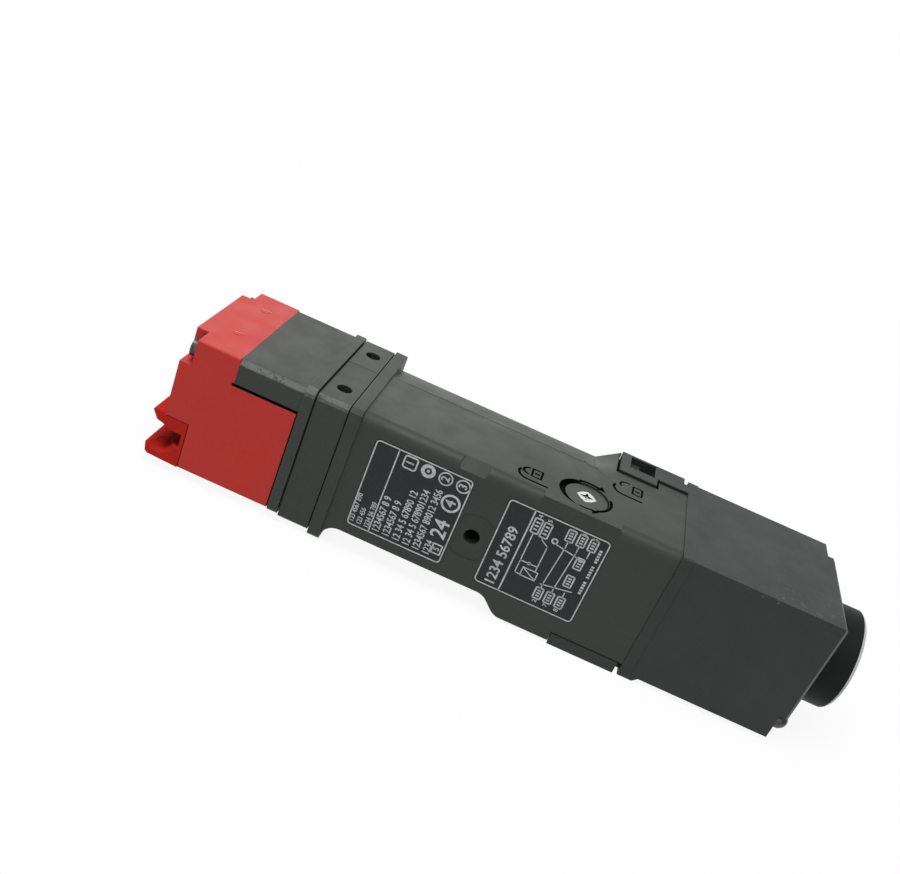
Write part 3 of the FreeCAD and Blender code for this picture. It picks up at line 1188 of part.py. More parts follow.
def build_terminals():
    """Make the terminal block with its wells, clamping plates and screws."""
    base = box("terminal_base", ("terminal_place", "-terminal_half_width", "terminal_bed"),
               ("terminal_block_length", "2 * terminal_half_width", "terminal_height"))
    foot = box("terminal_foot_block", ("terminal_place", "-terminal_half_width", "cavity_floor"),
               ("terminal_foot", "2 * terminal_half_width", "terminal_lift"))
    wells, clamps, screws = [], [], []
    for row, side in (("near", -1), ("far", 1)):
        for number in range(5):
            x = f"(terminal_place + terminal_pitch * {number + 0.85})"
            y = f"({side} * terminal_row)"
            name = f"{row}_{number}"
            floor = "terminal_top - well_depth"
            seat, clamp = f"{floor} + clamp_thickness", "2 * (terminal_well - clamp_gap)"
            wells.append(box(f"well_{name}",
                             (f"{x} - terminal_well", f"{y} - terminal_well - well_rim", floor),
                             ("2 * terminal_well", "2 * (terminal_well + well_rim)",
                              "well_depth + 2")))
            clamps.append(cut(f"clamp_{name}", box(
                f"clamp_plate_{name}", (f"{x} - terminal_well + clamp_gap",
                                        f"{y} - terminal_well + clamp_gap", floor),
                (clamp, clamp, "clamp_thickness")), [
                    rod(f"clamp_hole_{name}", "z", (x, y, f"{floor} - 1"),
                        "screw_radius + running_gap", "clamp_thickness + 2")]))
            wells.append(rod(f"thread_{name}", "z", (x, y, f"{seat} - terminal_thread"),
                             "screw_radius + running_gap", "terminal_thread"))
            shank = rod(f"terminal_shank_{name}", "z", (x, y, f"{seat} - terminal_screw_length"),
                        "screw_radius", "terminal_screw_length")
            cap = rod(f"terminal_cap_{name}", "z", (x, y, seat),
                      "screw_head_radius", "screw_head_height")
            slot = box(f"terminal_slot_{name}",
                       (f"{x} - screw_head_radius", f"{y} - cross_width / 2",
                        f"{seat} + screw_head_height - cross_depth"),
                       ("2 * screw_head_radius", "cross_width", "cross_depth + 1"))
            screws.append(cut(f"terminal_screw_{name}",
                              joined(f"terminal_blank_{name}", [shank, cap]), [slot]))
    ridge = box("terminal_ridge", ("terminal_place", "-terminal_rail", "terminal_top"),
                ("terminal_block_length", "2 * terminal_rail", "terminal_rail"))
    keep(cut("terminal_block", joined("terminal_blank", [base, foot, ridge]), wells),
         "terminal_block")
    group("terminal_clamps", clamps)
    group("terminal_screws", screws)


def build_conduit_bush():
    """Turn the bush that carries the conduit thread, with its seal and end ring."""
    place = ("0", "conduit_height")
    end = "cover_end + bush_reach"
    turned("conduit_bush", "x", place, [
        ("cover_end - bush_spigot", "bush_bore"),
        ("cover_end - bush_spigot", "conduit_radius - running_gap"),
        ("cover_end", "conduit_radius - running_gap"),
        ("cover_end + bush_seal_depth", "conduit_radius - running_gap"),
        ("cover_end + bush_seal_depth", "conduit_radius + bush_seal_width + 0.8"),
        ("cover_end", "conduit_radius + bush_seal_width + 0.8"), ("cover_end", "bush_radius"),
        (f"{end} - ring_width", "bush_radius"),
        (f"{end} - ring_width", "bush_radius - ring_step"), (end, "bush_radius - ring_step"),
        (end, "bush_bore")])
    turned("bush_seal", "x", place, [
        ("cover_end", "conduit_radius + 0.3"),
        ("cover_end + bush_seal_depth", "conduit_radius + 0.3"),
        ("cover_end + bush_seal_depth", "conduit_radius + 0.3 + bush_seal_width"),
        ("cover_end", "conduit_radius + 0.3 + bush_seal_width")])
    turned("bush_ring", "x", place, [
        (f"{end} - ring_width", "bush_radius - ring_step"),
        (f"{end} - ring_width", "bush_radius - 0.2"),
        (f"{end} - bush_bevel", "bush_radius - 0.2"),
        (end, "bush_radius - 0.2 - bush_bevel"), (end, "bush_radius - ring_step")])


# ---------------------------------------------------------------- build, check and write

def check_document():
    """Stop if any object failed, or any sub-part is empty or invalid."""
    faults = [f"{item.Name}: {item.State}" for item in doc.Objects
              if {"Invalid", "Error"} & set(item.State)]
    for item in sub_parts:
        if item.Shape.isNull() or not item.Shape.isValid() or not item.Shape.Solids:
            faults.append(f"{item.Label}: no valid solid")
    if faults:
        raise RuntimeError("; ".join(faults))


def main():
    """Build every sub-part, check the document and write one STEP file for each."""
    for build in (build_case_shell, build_mounting_block, build_gaskets, build_head_base,
                  build_head_cover, build_key_guide, build_operating_cam,
                  build_head_small_parts, build_contact_plunger, build_contact_sets,
                  build_lock_train, build_solenoid, build_release, build_terminal_cover,
                  build_cover_fasteners, build_cover_seal, build_terminals,
                  build_conduit_bush):
        build()
        doc.recompute()
    check_document()
    os.makedirs("parts", exist_ok=True)
    for item in sub_parts:
        item.Shape.exportStep(f"parts/{item.Label}.step")
        print(f"{item.Label}: {len(item.Shape.Solids)} solid(s), {item.Shape.Volume:.1f} mm3")


main()
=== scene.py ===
"""Looks of the tongue interlock switch: finishes, label plates, moulded marks and the studio.

The frame holds every solid part. This script dresses those parts, adds the thin pieces that carry
the prints and the moulded marks, and sets up a plain pale studio round the switch. Drawings and the
sizes in the classes are in millimetres. What goes to Blender is in metres.
"""

import logging
import math
from dataclasses import dataclass, field
from enum import Enum
from typing import Any, Dict, Iterable, List, Optional, Sequence, Tuple

import bmesh
import bpy
from mathutils import Matrix, Quaternion, Vector

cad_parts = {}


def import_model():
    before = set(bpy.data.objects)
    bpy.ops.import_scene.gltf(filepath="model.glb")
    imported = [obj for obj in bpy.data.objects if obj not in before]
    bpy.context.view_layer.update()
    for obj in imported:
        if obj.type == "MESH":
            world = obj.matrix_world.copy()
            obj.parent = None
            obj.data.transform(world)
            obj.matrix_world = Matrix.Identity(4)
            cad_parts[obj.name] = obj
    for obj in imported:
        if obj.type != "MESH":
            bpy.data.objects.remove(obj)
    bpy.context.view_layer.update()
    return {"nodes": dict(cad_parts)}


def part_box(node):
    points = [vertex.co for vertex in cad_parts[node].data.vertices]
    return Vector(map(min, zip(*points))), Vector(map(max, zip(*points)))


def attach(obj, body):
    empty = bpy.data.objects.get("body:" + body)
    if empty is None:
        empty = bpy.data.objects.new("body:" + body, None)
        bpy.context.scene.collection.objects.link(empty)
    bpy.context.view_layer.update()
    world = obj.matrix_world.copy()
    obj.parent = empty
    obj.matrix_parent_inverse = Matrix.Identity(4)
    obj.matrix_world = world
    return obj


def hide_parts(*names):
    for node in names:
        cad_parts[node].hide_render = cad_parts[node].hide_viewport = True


LOG = logging.getLogger("switch")
MM = 0.001
NEAR_FACE = -0.0225  # the case's label side
PAD_RISE = 0.5 * MM  # how far the front pad stands above the selector's top
WHITE = (1, 1, 1, 1)
BEVEL_SAMPLES = 4
# The lean of a rounded normal at which an edge begins to look paler, and where it is full. The
# paler edge is partly rubbing and partly a painted highlight.
EDGE_COSINES = (0.985, 0.80)
# Noise values where an effect begins and where it is full.
CLOUDS, SPECKS, WORN_AND_LIT, GLOSS = (0.32, 0.68), (0.5, 0.78), (0.3, 0.62), (0.25, 0.75)
PATCHES, DULLED, DUST, COVER = (0.35, 0.7), (0.3, 0.7), (0.5, 0.8), (0.35, 0.65)

Point = Tuple[float, float]
Colour = Tuple[float, float, float]
Socket = bpy.types.NodeSocket


class Side(Enum):
    """The two faces of the housing that carry drawings."""

    NEAR = "near"
    FRONT = "front"


# ---------------------------------------------------------------- shader building


def feed(tree: bpy.types.NodeTree, node: bpy.types.Node, inputs: Dict[Any, Any]) -> None:
    """Set a node's inputs.

    Args:
        tree: the node's tree.
        node: the node.
        inputs: for an input's name or index, the socket that feeds it or its value.
    """
    for key, value in inputs.items():
        if isinstance(value, Socket):
            tree.links.new(value, node.inputs[key])
        else:
            node.inputs[key].default_value = value


def add_node(tree: bpy.types.NodeTree, kind: str, inputs: Optional[Dict[Any, Any]] = None,
             **settings: Any) -> bpy.types.Node:
    """Add a node to a shader tree.

    Args:
        tree: the tree.
        kind: the node's type.
        inputs: as feed takes them.
        **settings: the node's own settings.

    Returns:
        The node.
    """
    node = tree.nodes.new(kind)
    for name, value in settings.items():
        setattr(node, name, value)
    feed(tree, node, inputs or {})
    return node


class ShaderTree:
    """A material's node tree, built node by node on Object coordinates."""

    def __init__(self, name: str) -> None:
        """Start a material.

        Args:
            name: the material's name.
        """
        self.material = bpy.data.materials.new(name)
        self.material.use_nodes = True
        self.tree = self.material.node_tree
        self.tree.nodes.clear()
        self.shader = self.add("ShaderNodeBsdfPrincipled")
        self.add("ShaderNodeOutputMaterial", {"Surface": self.shader.outputs[0]})
        self.coordinates = self.add("ShaderNodeTexCoord").outputs["Object"]

    def add(self, kind: str, inputs: Optional[Dict[Any, Any]] = None, **settings: Any
            ) -> bpy.types.Node:
        """Add a node, as add_node does."""
        return add_node(self.tree, kind, inputs, **settings)

    def shade(self, **inputs: Any) -> None:
        """Set the shader's inputs, by name with underscores for spaces."""
        feed(self.tree, self.shader, {k.replace("_", " "): v for k, v in inputs.items()})

    def noise(self, size_mm: float, detail: float = 3.0, rough: float = 0.55,
              twist: float = 0.0) -> Socket:
        """Add a noise.

        Args:
            size_mm: about how wide one patch is.
            detail: octaves of finer noise.
            rough: how strong those octaves are.
            twist: how much the patches are twisted.

        Returns:
            The noise's value.
        """
        return self.add("ShaderNodeTexNoise", {
            "Vector": self.coordinates, "Scale": 1 / (size_mm * MM), "Detail": detail,
            "Roughness": rough, "Distortion": twist}).outputs["Fac"]

    def ramp(self, value: Socket, low: float, high: float, start: float = 0.0,
             end: float = 1.0) -> Socket:
        """Stretch a value smoothly.

        Args:
            value: the value to read.
            low: the value that becomes start.
            high: the value that becomes end.
            start: the first result.
            end: the last result.

        Returns:
            The stretched value.
        """
        return self.add("ShaderNodeMapRange", dict(enumerate((value, low, high, start, end))),
                        interpolation_type="SMOOTHSTEP").outputs[0]

    def times(self, first: Socket, second: "Socket | float") -> Socket:
        """Multiply a value by another or by a number."""
        return self.add("ShaderNodeMath", {0: first, 1: second},
                        operation="MULTIPLY").outputs[0]

    def blend(self, amount: Socket, first: "Socket | Colour", second: "Socket | Colour"
              ) -> Socket:
        """Mix two colours.

        Args:
            amount: 0 gives the first colour, 1 the second.
            first: a colour or a socket.
            second: a colour or a socket.

        Returns:
            The mixed colour.
        """
        first, second = ((*c, 1) if isinstance(c, tuple) else c for c in (first, second))
        return self.add("ShaderNodeMix", {0: amount, 6: first, 7: second},
                        data_type="RGBA").outputs[2]

    def rounded_normal(self, radius_mm: float) -> Socket:
        """Give the normal of a surface whose edges are rounded."""
        return self.add("ShaderNodeBevel", {"Radius": radius_mm * MM},
                        samples=BEVEL_SAMPLES).outputs[0]

    def worn_lit_edges(self, radius_mm: float) -> Socket:
        """Find the paler edges, from how far a rounded normal leans from the flat one. They are
        partly rubbed and partly a painted highlight where edges catch the light.

        Args:
            radius_mm: how wide the paler edge is.

        Returns:
            A value that is 1 on an edge and 0 on a face.
        """
        flat = self.add("ShaderNodeNewGeometry").outputs["True Normal"]
        lean = self.add("ShaderNodeVectorMath", {0: self.rounded_normal(radius_mm), 1: flat},
                        operation="DOT_PRODUCT")
        return self.ramp(lean.outputs["Value"], *EDGE_COSINES)

    def relief(self, height: Socket, depth_mm: float, round_mm: float = 0.0) -> None:
        """Give the shader a fine relief and softened edges.

        Args:
            height: the relief's height.
            depth_mm: how deep the relief is.
            round_mm: how much the edges are rounded.
        """
        inputs = {"Height": height, "Strength": 1.0, "Distance": depth_mm * MM}
        if round_mm:
            inputs["Normal"] = self.rounded_normal(round_mm)
        self.shade(Normal=self.add("ShaderNodeBump", inputs).outputs[0])

    def position(self, axis: str) -> Socket:
        """Give one Object coordinate, X, Y or Z, in metres."""
        return self.add("ShaderNodeSeparateXYZ", {0: self.coordinates}).outputs[axis]


@dataclass(frozen=True)
class WearAndLightPatch:
    """A patch of changed colour, held to a band of the part and broken up by a noise. It carries
    rubbed scuffs, painted highlights and painted shade.

    Attributes:
        bands: for an axis, where the patch begins and where it is full.
        colour: the patch's colour, linear.
        patch_mm: the size of the marks.
        cover: the noise values where a mark begins and where it is full.
        strength: how strong the patch is.
        twist: how much the marks are twisted.
    """

    bands: Tuple[Tuple[str, float, float], ...]
    colour: Colour
    patch_mm: float
    cover: Point
    strength: float
    twist: float = 1.5

    def mask(self, tree: ShaderTree) -> Socket:
        """Build the patch's mask.

        Args:
            tree: the material's tree.

        Returns:
            A value that is 1 where the patch is full.
        """
        marks = tree.noise(self.patch_mm, 5, 0.72, self.twist)
        mask = tree.times(tree.ramp(marks, *self.cover), self.strength)
        for axis, start, full in self.bands:
            mask = tree.times(mask, tree.ramp(tree.position(axis), start * MM, full * MM))
        return mask


@dataclass(frozen=True)
class MouldedPlastic:
    """Spark-eroded moulded plastic: fine matt grain, cloudy tone, paler edges that are partly
    rubbed and partly a painted highlight.

    Attributes:
        name: the finish's name.
        colour: the plain colour, linear.
        pale: the colour of the paler edges and of the grain's tips.
        roughness: the middle of the roughness.
        grain_mm: the size of the eroded grain.
        depth_mm: how deep the grain is.
        edge_wear_and_highlight: how strong the paler edges are, rubbing and painted highlight
            together.
        cloud: the tone of the darker clouds, 1 for none.
        specular: the shader's specular level.
        rubs: patches of changed colour: scuffs rubbed pale by handling, painted highlights and
            painted shade.
        speck: how strong the grain's pale tips are.
        cloud_mm: the size of the clouds.
        edge_mm: how wide a paler edge is.
        edge_patch_mm: the size of the patches that break it up.
        gloss_mm: the size of the shinier patches.
        gloss: how far the roughness falls and rises.
        round_mm: how much the edges are rounded.
    """

    name: str
    colour: Colour
    pale: Colour
    roughness: float = 0.5
    grain_mm: float = 0.28
    depth_mm: float = 0.010
    edge_wear_and_highlight: float = 0.3
    cloud: float = 0.88
    specular: float = 0.3
    rubs: Tuple[WearAndLightPatch, ...] = ()
    speck: float = 0.2
    cloud_mm: float = 34.0
    edge_mm: float = 0.45
    edge_patch_mm: float = 3.5
    gloss_mm: float = 9.0
    gloss: Point = (-0.06, 0.07)
    round_mm: float = 0.22

    def build(self) -> bpy.types.Material:
        """Build the material.

        Returns:
            The finished material.
        """
        tree = ShaderTree(self.name)
        deep: Colour = tuple(c * self.cloud for c in self.colour)
        grain = tree.noise(self.grain_mm, 2, 0.6)
        tone = tree.blend(tree.ramp(tree.noise(self.cloud_mm), *CLOUDS), deep, self.colour)
        tone = tree.blend(tree.times(tree.ramp(grain, *SPECKS), self.speck), tone, self.pale)
        # Paler edges: partly rubbing, partly a painted highlight where rounded edges catch the
        # light.
        worn_and_lit = tree.times(tree.worn_lit_edges(self.edge_mm), self.edge_wear_and_highlight)
        worn_and_lit = tree.times(worn_and_lit, tree.ramp(tree.noise(self.edge_patch_mm, 4), *WORN_AND_LIT))
        tone = tree.blend(worn_and_lit, tone, self.pale)
        # Patches: rubbed scuffs, painted highlights and painted shade, as each finish lists them.
        for rub in self.rubs:
            tone = tree.blend(rub.mask(tree), tone, rub.colour)
        shine = tree.ramp(tree.noise(self.gloss_mm, 4, 0.6), *GLOSS,
                          *(self.roughness + change for change in self.gloss))
        tree.shade(Base_Color=tone, Roughness=shine, Specular_IOR_Level=self.specular)
        tree.relief(grain, self.depth_mm, self.round_mm)
        return tree.material


def red_moulding(name: str, colour: Colour, pale: Colour, roughness: float = 0.45,
                 edge_wear_and_highlight: float = 0.2, **more: Any) -> MouldedPlastic:
    """Give a red moulding, whose grain is coarser and shallower than the black one's.

    Args:
        name: the finish's name.
        colour: the plain colour.
        pale: the rubbed colour.
        roughness: the middle of the roughness.
        edge_wear_and_highlight: how strong the paler edges are, rubbing and painted highlight
            together.
        **more: other values of MouldedPlastic.

    Returns:
        The finish.
    """
    return MouldedPlastic(name, colour, pale, roughness, 0.35, 0.004, edge_wear_and_highlight, 0.95, **more)


@dataclass(frozen=True)
class WorkedMetal:
    """Turned, plated or drawn metal with faint tool lines and dull patches.

    Attributes:
        name: the finish's name.
        colour: the bright colour, linear.
        dull: the colour of the dull patches.
        roughness: the middle of the roughness.
        patch_mm: the size of the patches.
        grain_mm: the size of the tool lines.
        gloss: how far the roughness falls and rises.
    """

    name: str
    colour: Colour
    dull: Colour
    roughness: float = 0.3
    patch_mm: float = 2.5
    grain_mm: float = 0.15
    gloss: Point = (-0.08, 0.12)

    def build(self) -> bpy.types.Material:
        """Build the material.

        Returns:
            The finished material.
        """
        tree = ShaderTree(self.name)
        patches = tree.noise(self.patch_mm, 4)
        shine = tree.ramp(patches, *DULLED, *(self.roughness + c for c in self.gloss))
        tree.shade(Base_Color=tree.blend(tree.ramp(patches, *PATCHES), self.colour, self.dull),
                   Roughness=shine, Metallic=1.0)
        tree.relief(tree.noise(self.grain_mm, 3, 0.65), 0.004, 0.08)
        return tree.material


@dataclass(frozen=True)
class SoftRubber:
    """Dull rubber with a fine dusty bloom.

    Attributes:
        name: the finish's name.
        colour: the plain colour, linear.
        bloom: the colour of the dusty bloom.
        dusty: how much of the bloom shows where it is full.
    """

    name: str
    colour: Colour
    bloom: Colour
    dusty: float = 0.5

    def build(self) -> bpy.types.Material:
        """Build the material.

        Returns:
            The finished material.
        """
        tree = ShaderTree(self.name)
        dust = tree.ramp(tree.noise(2.5, 4, 0.7), *DUST, 0, self.dusty)
        tree.shade(Base_Color=tree.blend(dust, self.colour, self.bloom),
                   Roughness=tree.ramp(dust, 0, self.dusty, 0.7, 0.9))
        tree.relief(tree.noise(0.4, 2), 0.01, 0.12)
        return tree.material


@dataclass(frozen=True)
class InkFilmAndShade:
    """A flat, slightly uneven colour: screen-printed ink, a sticker's film, and the painted shade
    inside grooves and joints.

    Attributes:
        name: the finish's name.
        colour: the colour, linear.
        thin: the colour where the ink is thin.
        roughness: how matt it is.
        specular: the shader's specular level.
        gloss: how far the roughness falls and rises.
    """

    name: str
    colour: Colour
    thin: Colour
    roughness: float = 0.5
    specular: float = 0.5
    gloss: Point = (-0.08, 0.08)

    def build(self) -> bpy.types.Material:
        """Build the material.

        Returns:
            The finished material.
        """
        tree = ShaderTree(self.name)
        cover = tree.ramp(tree.noise(1.1, 4, 0.7), *COVER)
        shine = tree.ramp(tree.noise(0.5, 2), *DULLED, *(self.roughness + c for c in self.gloss))
        tree.shade(Base_Color=tree.blend(cover, self.thin, self.colour), Roughness=shine,
                   Specular_IOR_Level=self.specular)
        tree.relief(tree.noise(0.35, 2), 0.003)
        return tree.material


# ---------------------------------------------------------------- geometry building


class PatternTree:
    """A Geometry Nodes group with named inputs, baked to a plain mesh."""

    def __init__(self, name: str) -> None:
        """Start a group.

        Args:
            name: the group's name.
        """
        self.group = bpy.data.node_groups.new(name, "GeometryNodeTree")
        for way in ("INPUT", "OUTPUT"):
            self.group.interface.new_socket("Geometry", in_out=way,
                                            socket_type="NodeSocketGeometry")
        self.entry = self.group.nodes.new("NodeGroupInput")
        self.exit = self.group.nodes.new("NodeGroupOutput")
        self.sizes: Dict[str, float] = {}

    def size(self, name: str, value: float, whole: bool = False) -> Socket:
        """Add a named input.

        Args:
            name: the input's name.
            value: its value.
            whole: True for a whole number.

        Returns:
            The input's socket inside the group.
        """
        kind = "NodeSocketInt" if whole else "NodeSocketFloat"
        item = self.group.interface.new_socket(name, in_out="INPUT", socket_type=kind)
        self.sizes[item.identifier] = value
        return self.entry.outputs[name]

    def add(self, kind: str, **values: Any) -> bpy.types.Node:
        """Add a node.

        Args:
            kind: the node's type.
            **values: its settings, and its inputs by name.

        Returns:
            The node.
        """
        node = self.group.nodes.new(kind)
        for name, value in values.items():
            if hasattr(node, name):
                setattr(node, name, value)
            else:
                feed(self.group, node, {name: value})
        return node

    def times(self, value: Socket, share: float) -> Socket:
        """Multiply a value by a number."""
        node = self.add("ShaderNodeMath", operation="MULTIPLY")
        feed(self.group, node, {0: value, 1: share})
        return node.outputs[0]

    def spread(self, shape: Socket, finish: bpy.types.Material, **values: Any) -> None:
        """Put a shape on each carrier point, realize the instances and set their material.

        Args:
            shape: the shape.
            finish: the material.
            **values: other inputs of the node that makes the instances.
        """
        copies = self.add("GeometryNodeInstanceOnPoints", Points=self.entry.outputs[0],
                          Instance=shape, **values)
        real = self.add("GeometryNodeRealizeInstances", Geometry=copies.outputs[0])
        made = self.add("GeometryNodeSetMaterial", Geometry=real.outputs[0], Material=finish)
        feed(self.group, self.exit, {0: made.outputs[0]})

    def bake(self, name: str, points: Iterable[Sequence[float]]) -> bpy.types.Mesh:
        """Run the group on carrier points and keep the result as a plain mesh.

        Args:
            name: the result's name.
            points: the carrier points, in millimetres.

        Returns:
            The plain mesh.
        """
        carrier = bpy.data.meshes.new(name + "_points")
        carrier.from_pydata([Vector(p) * MM for p in points], [], [])
        holder = bpy.data.objects.new(name + "_holder", carrier)
        bpy.context.scene.collection.objects.link(holder)
        modifier = holder.modifiers.new("pattern", "NODES")
        modifier.node_group = self.group
        for identifier, value in self.sizes.items():
            modifier[identifier] = value
        graph = bpy.context.evaluated_depsgraph_get()
        mesh = bpy.data.meshes.new_from_object(holder.evaluated_get(graph))
        mesh.name = name
        bpy.data.objects.remove(holder)
        return mesh


def polar(radius: float, degrees: float, centre: Point = (0.0, 0.0)) -> Point:
    """Give the point at a radius and an angle from a centre."""
    turn = math.radians(degrees)
    return (centre[0] + radius * math.cos(turn), centre[1] + radius * math.sin(turn))


def rounded(centre: Point, size: Point, corner: float, steps: int = 6) -> List[Point]:
    """Give the points of a rounded rectangle, counter-clockwise.

    Args:
        centre: its middle.
        size: its width and height.
        corner: the corners' radius.
        steps: how many pieces each corner's arc has.

    Returns:
        The points.
    """
    half_w, half_h = size[0] / 2 - corner, size[1] / 2 - corner
    return [polar(corner, 90 * quarter + 90 * step / steps,
                  (centre[0] + sx * half_w, centre[1] + sy * half_h))
            for quarter, (sx, sy) in enumerate(((1, 1), (-1, 1), (-1, -1), (1, -1)))
            for step in range(steps + 1)]


def face_frame(side: Side, x: float, other: float, level: float) -> Matrix:
    """Give the matrix of a flat drawing on one face of the housing.

    Args:
        side: the face.
        x: the drawing's middle along the length, in metres.
        other: its middle across the face: Z on the near side, Y on the front.
        level: the face's own place: Y on the near side, Z on the front.

    Returns:
        The matrix from the drawing's frame to the object's. On the near side the drawing reads
        upwards along Z, and on the front it reads along X.
    """
    if side is Side.NEAR:
        rows, origin = ((0, -1, 0), (0, 0, -1), (1, 0, 0)), (x, level, other)
    else:
        rows, origin = ((1, 0, 0), (0, 1, 0), (0, 0, 1)), (x, other, level)
    return Matrix.Translation(origin) @ Matrix(rows).to_4x4()


class InkDrawing:
    """A flat drawing in a face's own millimetres, raised by the thickness of the ink.

    Attributes:
        boldness: how much a digit's outline is thickened, as a share of its height.
        digit_share: a digit's height as a share of the font's size.
        arc_step: about how many degrees one piece of an arc spans.
    """

    boldness = 0.022
    digit_share = 0.7
    arc_step = 8

    def __init__(self, thickness_mm: float = 0.03) -> None:
        """Start an empty drawing.

        Args:
            thickness_mm: how thick the ink is.
        """
        self.mesh = bmesh.new()
        self.thickness = thickness_mm

    def outline(self, points: Sequence[Point], hole: Sequence[Point] = ()) -> None:
        """Fill a closed outline and give it the ink's thickness.

        Args:
            points: the outline, in order.
            hole: an inner outline, with as many points as the outline.
        """
        outer, inner = ([self.mesh.verts.new((x, y, self.thickness)) for x, y in rim]
                        for rim in (points, hole))
        if inner:
            ring = [(i, (i + 1) % len(outer)) for i in range(len(outer))]
            top = [self.mesh.faces.new((outer[i], outer[j], inner[j], inner[i]))
                   for i, j in ring]
        else:
            top = [self.mesh.faces.new(outer)]
        grown = bmesh.ops.extrude_face_region(self.mesh, geom=top, use_keep_orig=True)
        low = [v for v in grown["geom"] if isinstance(v, bmesh.types.BMVert)]
        bmesh.ops.translate(self.mesh, verts=low, vec=(0, 0, -self.thickness))

    def bar(self, first: Point, second: Point, width: float) -> None:
        """Draw a straight line.

        Args:
            first: one end.
            second: the other end.
            width: the line's width.
        """
        a, b = Vector(first), Vector(second)
        along = (b - a).normalized() * width / 2
        across = Vector((-along.y, along.x))
        a, b = a - along, b + along
        self.outline([tuple(p) for p in (a - across, b - across, b + across, a + across)])

    def line(self, points: Sequence[Point], width: float) -> None:
        """Draw straight lines from point to point."""
        for first, second in zip(points, points[1:]):
            self.bar(first, second, width)

    def frame(self, centre: Point, size: Point, width: float, corner: float = 0.0) -> None:
        """Draw a rounded frame.

        Args:
            centre: its middle.
            size: its outer width and height.
            width: the line's width.
            corner: the outer corner's radius.
        """
        inner = (size[0] - 2 * width, size[1] - 2 * width)
        self.outline(rounded(centre, size, corner),
                     rounded(centre, inner, max(corner - width, 0.01)))

    def ring(self, centre: Point, outer: float, inner: float, start: float = 0.0,
             end: float = 360.0) -> None:
        """Draw a ring or a piece of one.

        Args:
            centre: its middle.
            outer: the outer radius.
            inner: the inner radius.
            start: the angle where it starts, in degrees.
            end: the angle where it ends.
        """
        steps = max(8, int((end - start) / self.arc_step))
        whole = end - start >= 360
        angles = [start + (end - start) * i / steps for i in range(steps + (not whole))]
        wide, narrow = ([polar(r, a, centre) for a in angles] for r in (outer, inner))
        if whole:
            self.outline(wide, narrow)
        else:
            self.outline(wide + narrow[::-1])

    def disc(self, centre: Point, radius: float) -> None:
        """Draw a filled disc."""
        self.outline(rounded(centre, (2 * radius, 2 * radius), radius, 7))

    def number(self, text: str, centre: Point, height: float, width: float = 1.0,
               start: bool = False) -> None:
        """Write a plain number.

        Args:
            text: the digits.
            centre: the number's middle, or its left end where start is set.
            height: the digits' height.
            width: how wide the digits are, as a share of their usual width.
            start: True to begin at centre.
        """
        curve = bpy.data.curves.new("digits", "FONT")
        curve.body = text
        curve.size = height / self.digit_share
        curve.align_x, curve.align_y = "LEFT" if start else "CENTER", "CENTER"
        curve.extrude = self.thickness / 2
        curve.resolution_u = 3
        curve.offset = height * self.boldness
        holder = bpy.data.objects.new("digits", curve)
        bpy.context.scene.collection.objects.link(holder)
        graph = bpy.context.evaluated_depsgraph_get()
        shape = bpy.data.meshes.new_from_object(holder.evaluated_get(graph))
        shape.transform(Matrix.Translation((*centre, self.thickness / 2))
                        @ Matrix.Diagonal((width, 1, 1, 1)))
        self.take(shape)
        bpy.data.objects.remove(holder)

    def take(self, mesh: bpy.types.Mesh, scale: float = 1.0) -> None:
        """Add a mesh to the drawing and delete it, scaled to millimetres."""
        if scale != 1.0:
            mesh.transform(Matrix.Scale(scale, 4))
        self.mesh.from_mesh(mesh)
        bpy.data.meshes.remove(mesh)

    def stretch(self, low_mm: float, high_mm: float) -> None:
        """Move the lower and the upper faces of the drawing's prisms.

        Args:
            low_mm: the new lower level.
            high_mm: the new upper level.
        """
        for vert in self.mesh.verts:
            vert.co.z = low_mm if vert.co.z < self.thickness / 2 else high_mm

    def solid(self, name: str, place: Matrix, finish: bpy.types.Material) -> bpy.types.Object:
        """Turn the drawing into an object.

        Args:
            name: the object's name.
            place: the matrix from the drawing's frame, in metres, to the object's.
            finish: its material.

        Returns:
            The object.
        """
        many = [f for f in self.mesh.faces if len(f.verts) > 4]
        bmesh.ops.triangulate(self.mesh, faces=many)
        bmesh.ops.recalc_face_normals(self.mesh, faces=self.mesh.faces)
        mesh = bpy.data.meshes.new(name)
        self.mesh.to_mesh(mesh)
        self.mesh.free()
        mesh.transform(place @ Matrix.Scale(MM, 4))
        mesh.materials.clear()
        mesh.materials.append(finish)
        for polygon in mesh.polygons:
            polygon.material_index = 0
        made = bpy.data.objects.new(name, mesh)
        bpy.context.scene.collection.objects.link(made)
        return made

    def piece(self, name: str, place: Matrix, finish: bpy.types.Material) -> bpy.types.Object:
        """Turn the drawing into a finished piece on the switch's body.

        Args:
            name: the piece's name.
            place: the matrix from the drawing's frame, in metres, to the object's.
            finish: its material.

        Returns:
            The piece.
        """
        made = self.solid(name, place, finish)
        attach(made, "switch_body")
        LOG.info("piece %s: %d faces", name, len(made.data.polygons))
        return made


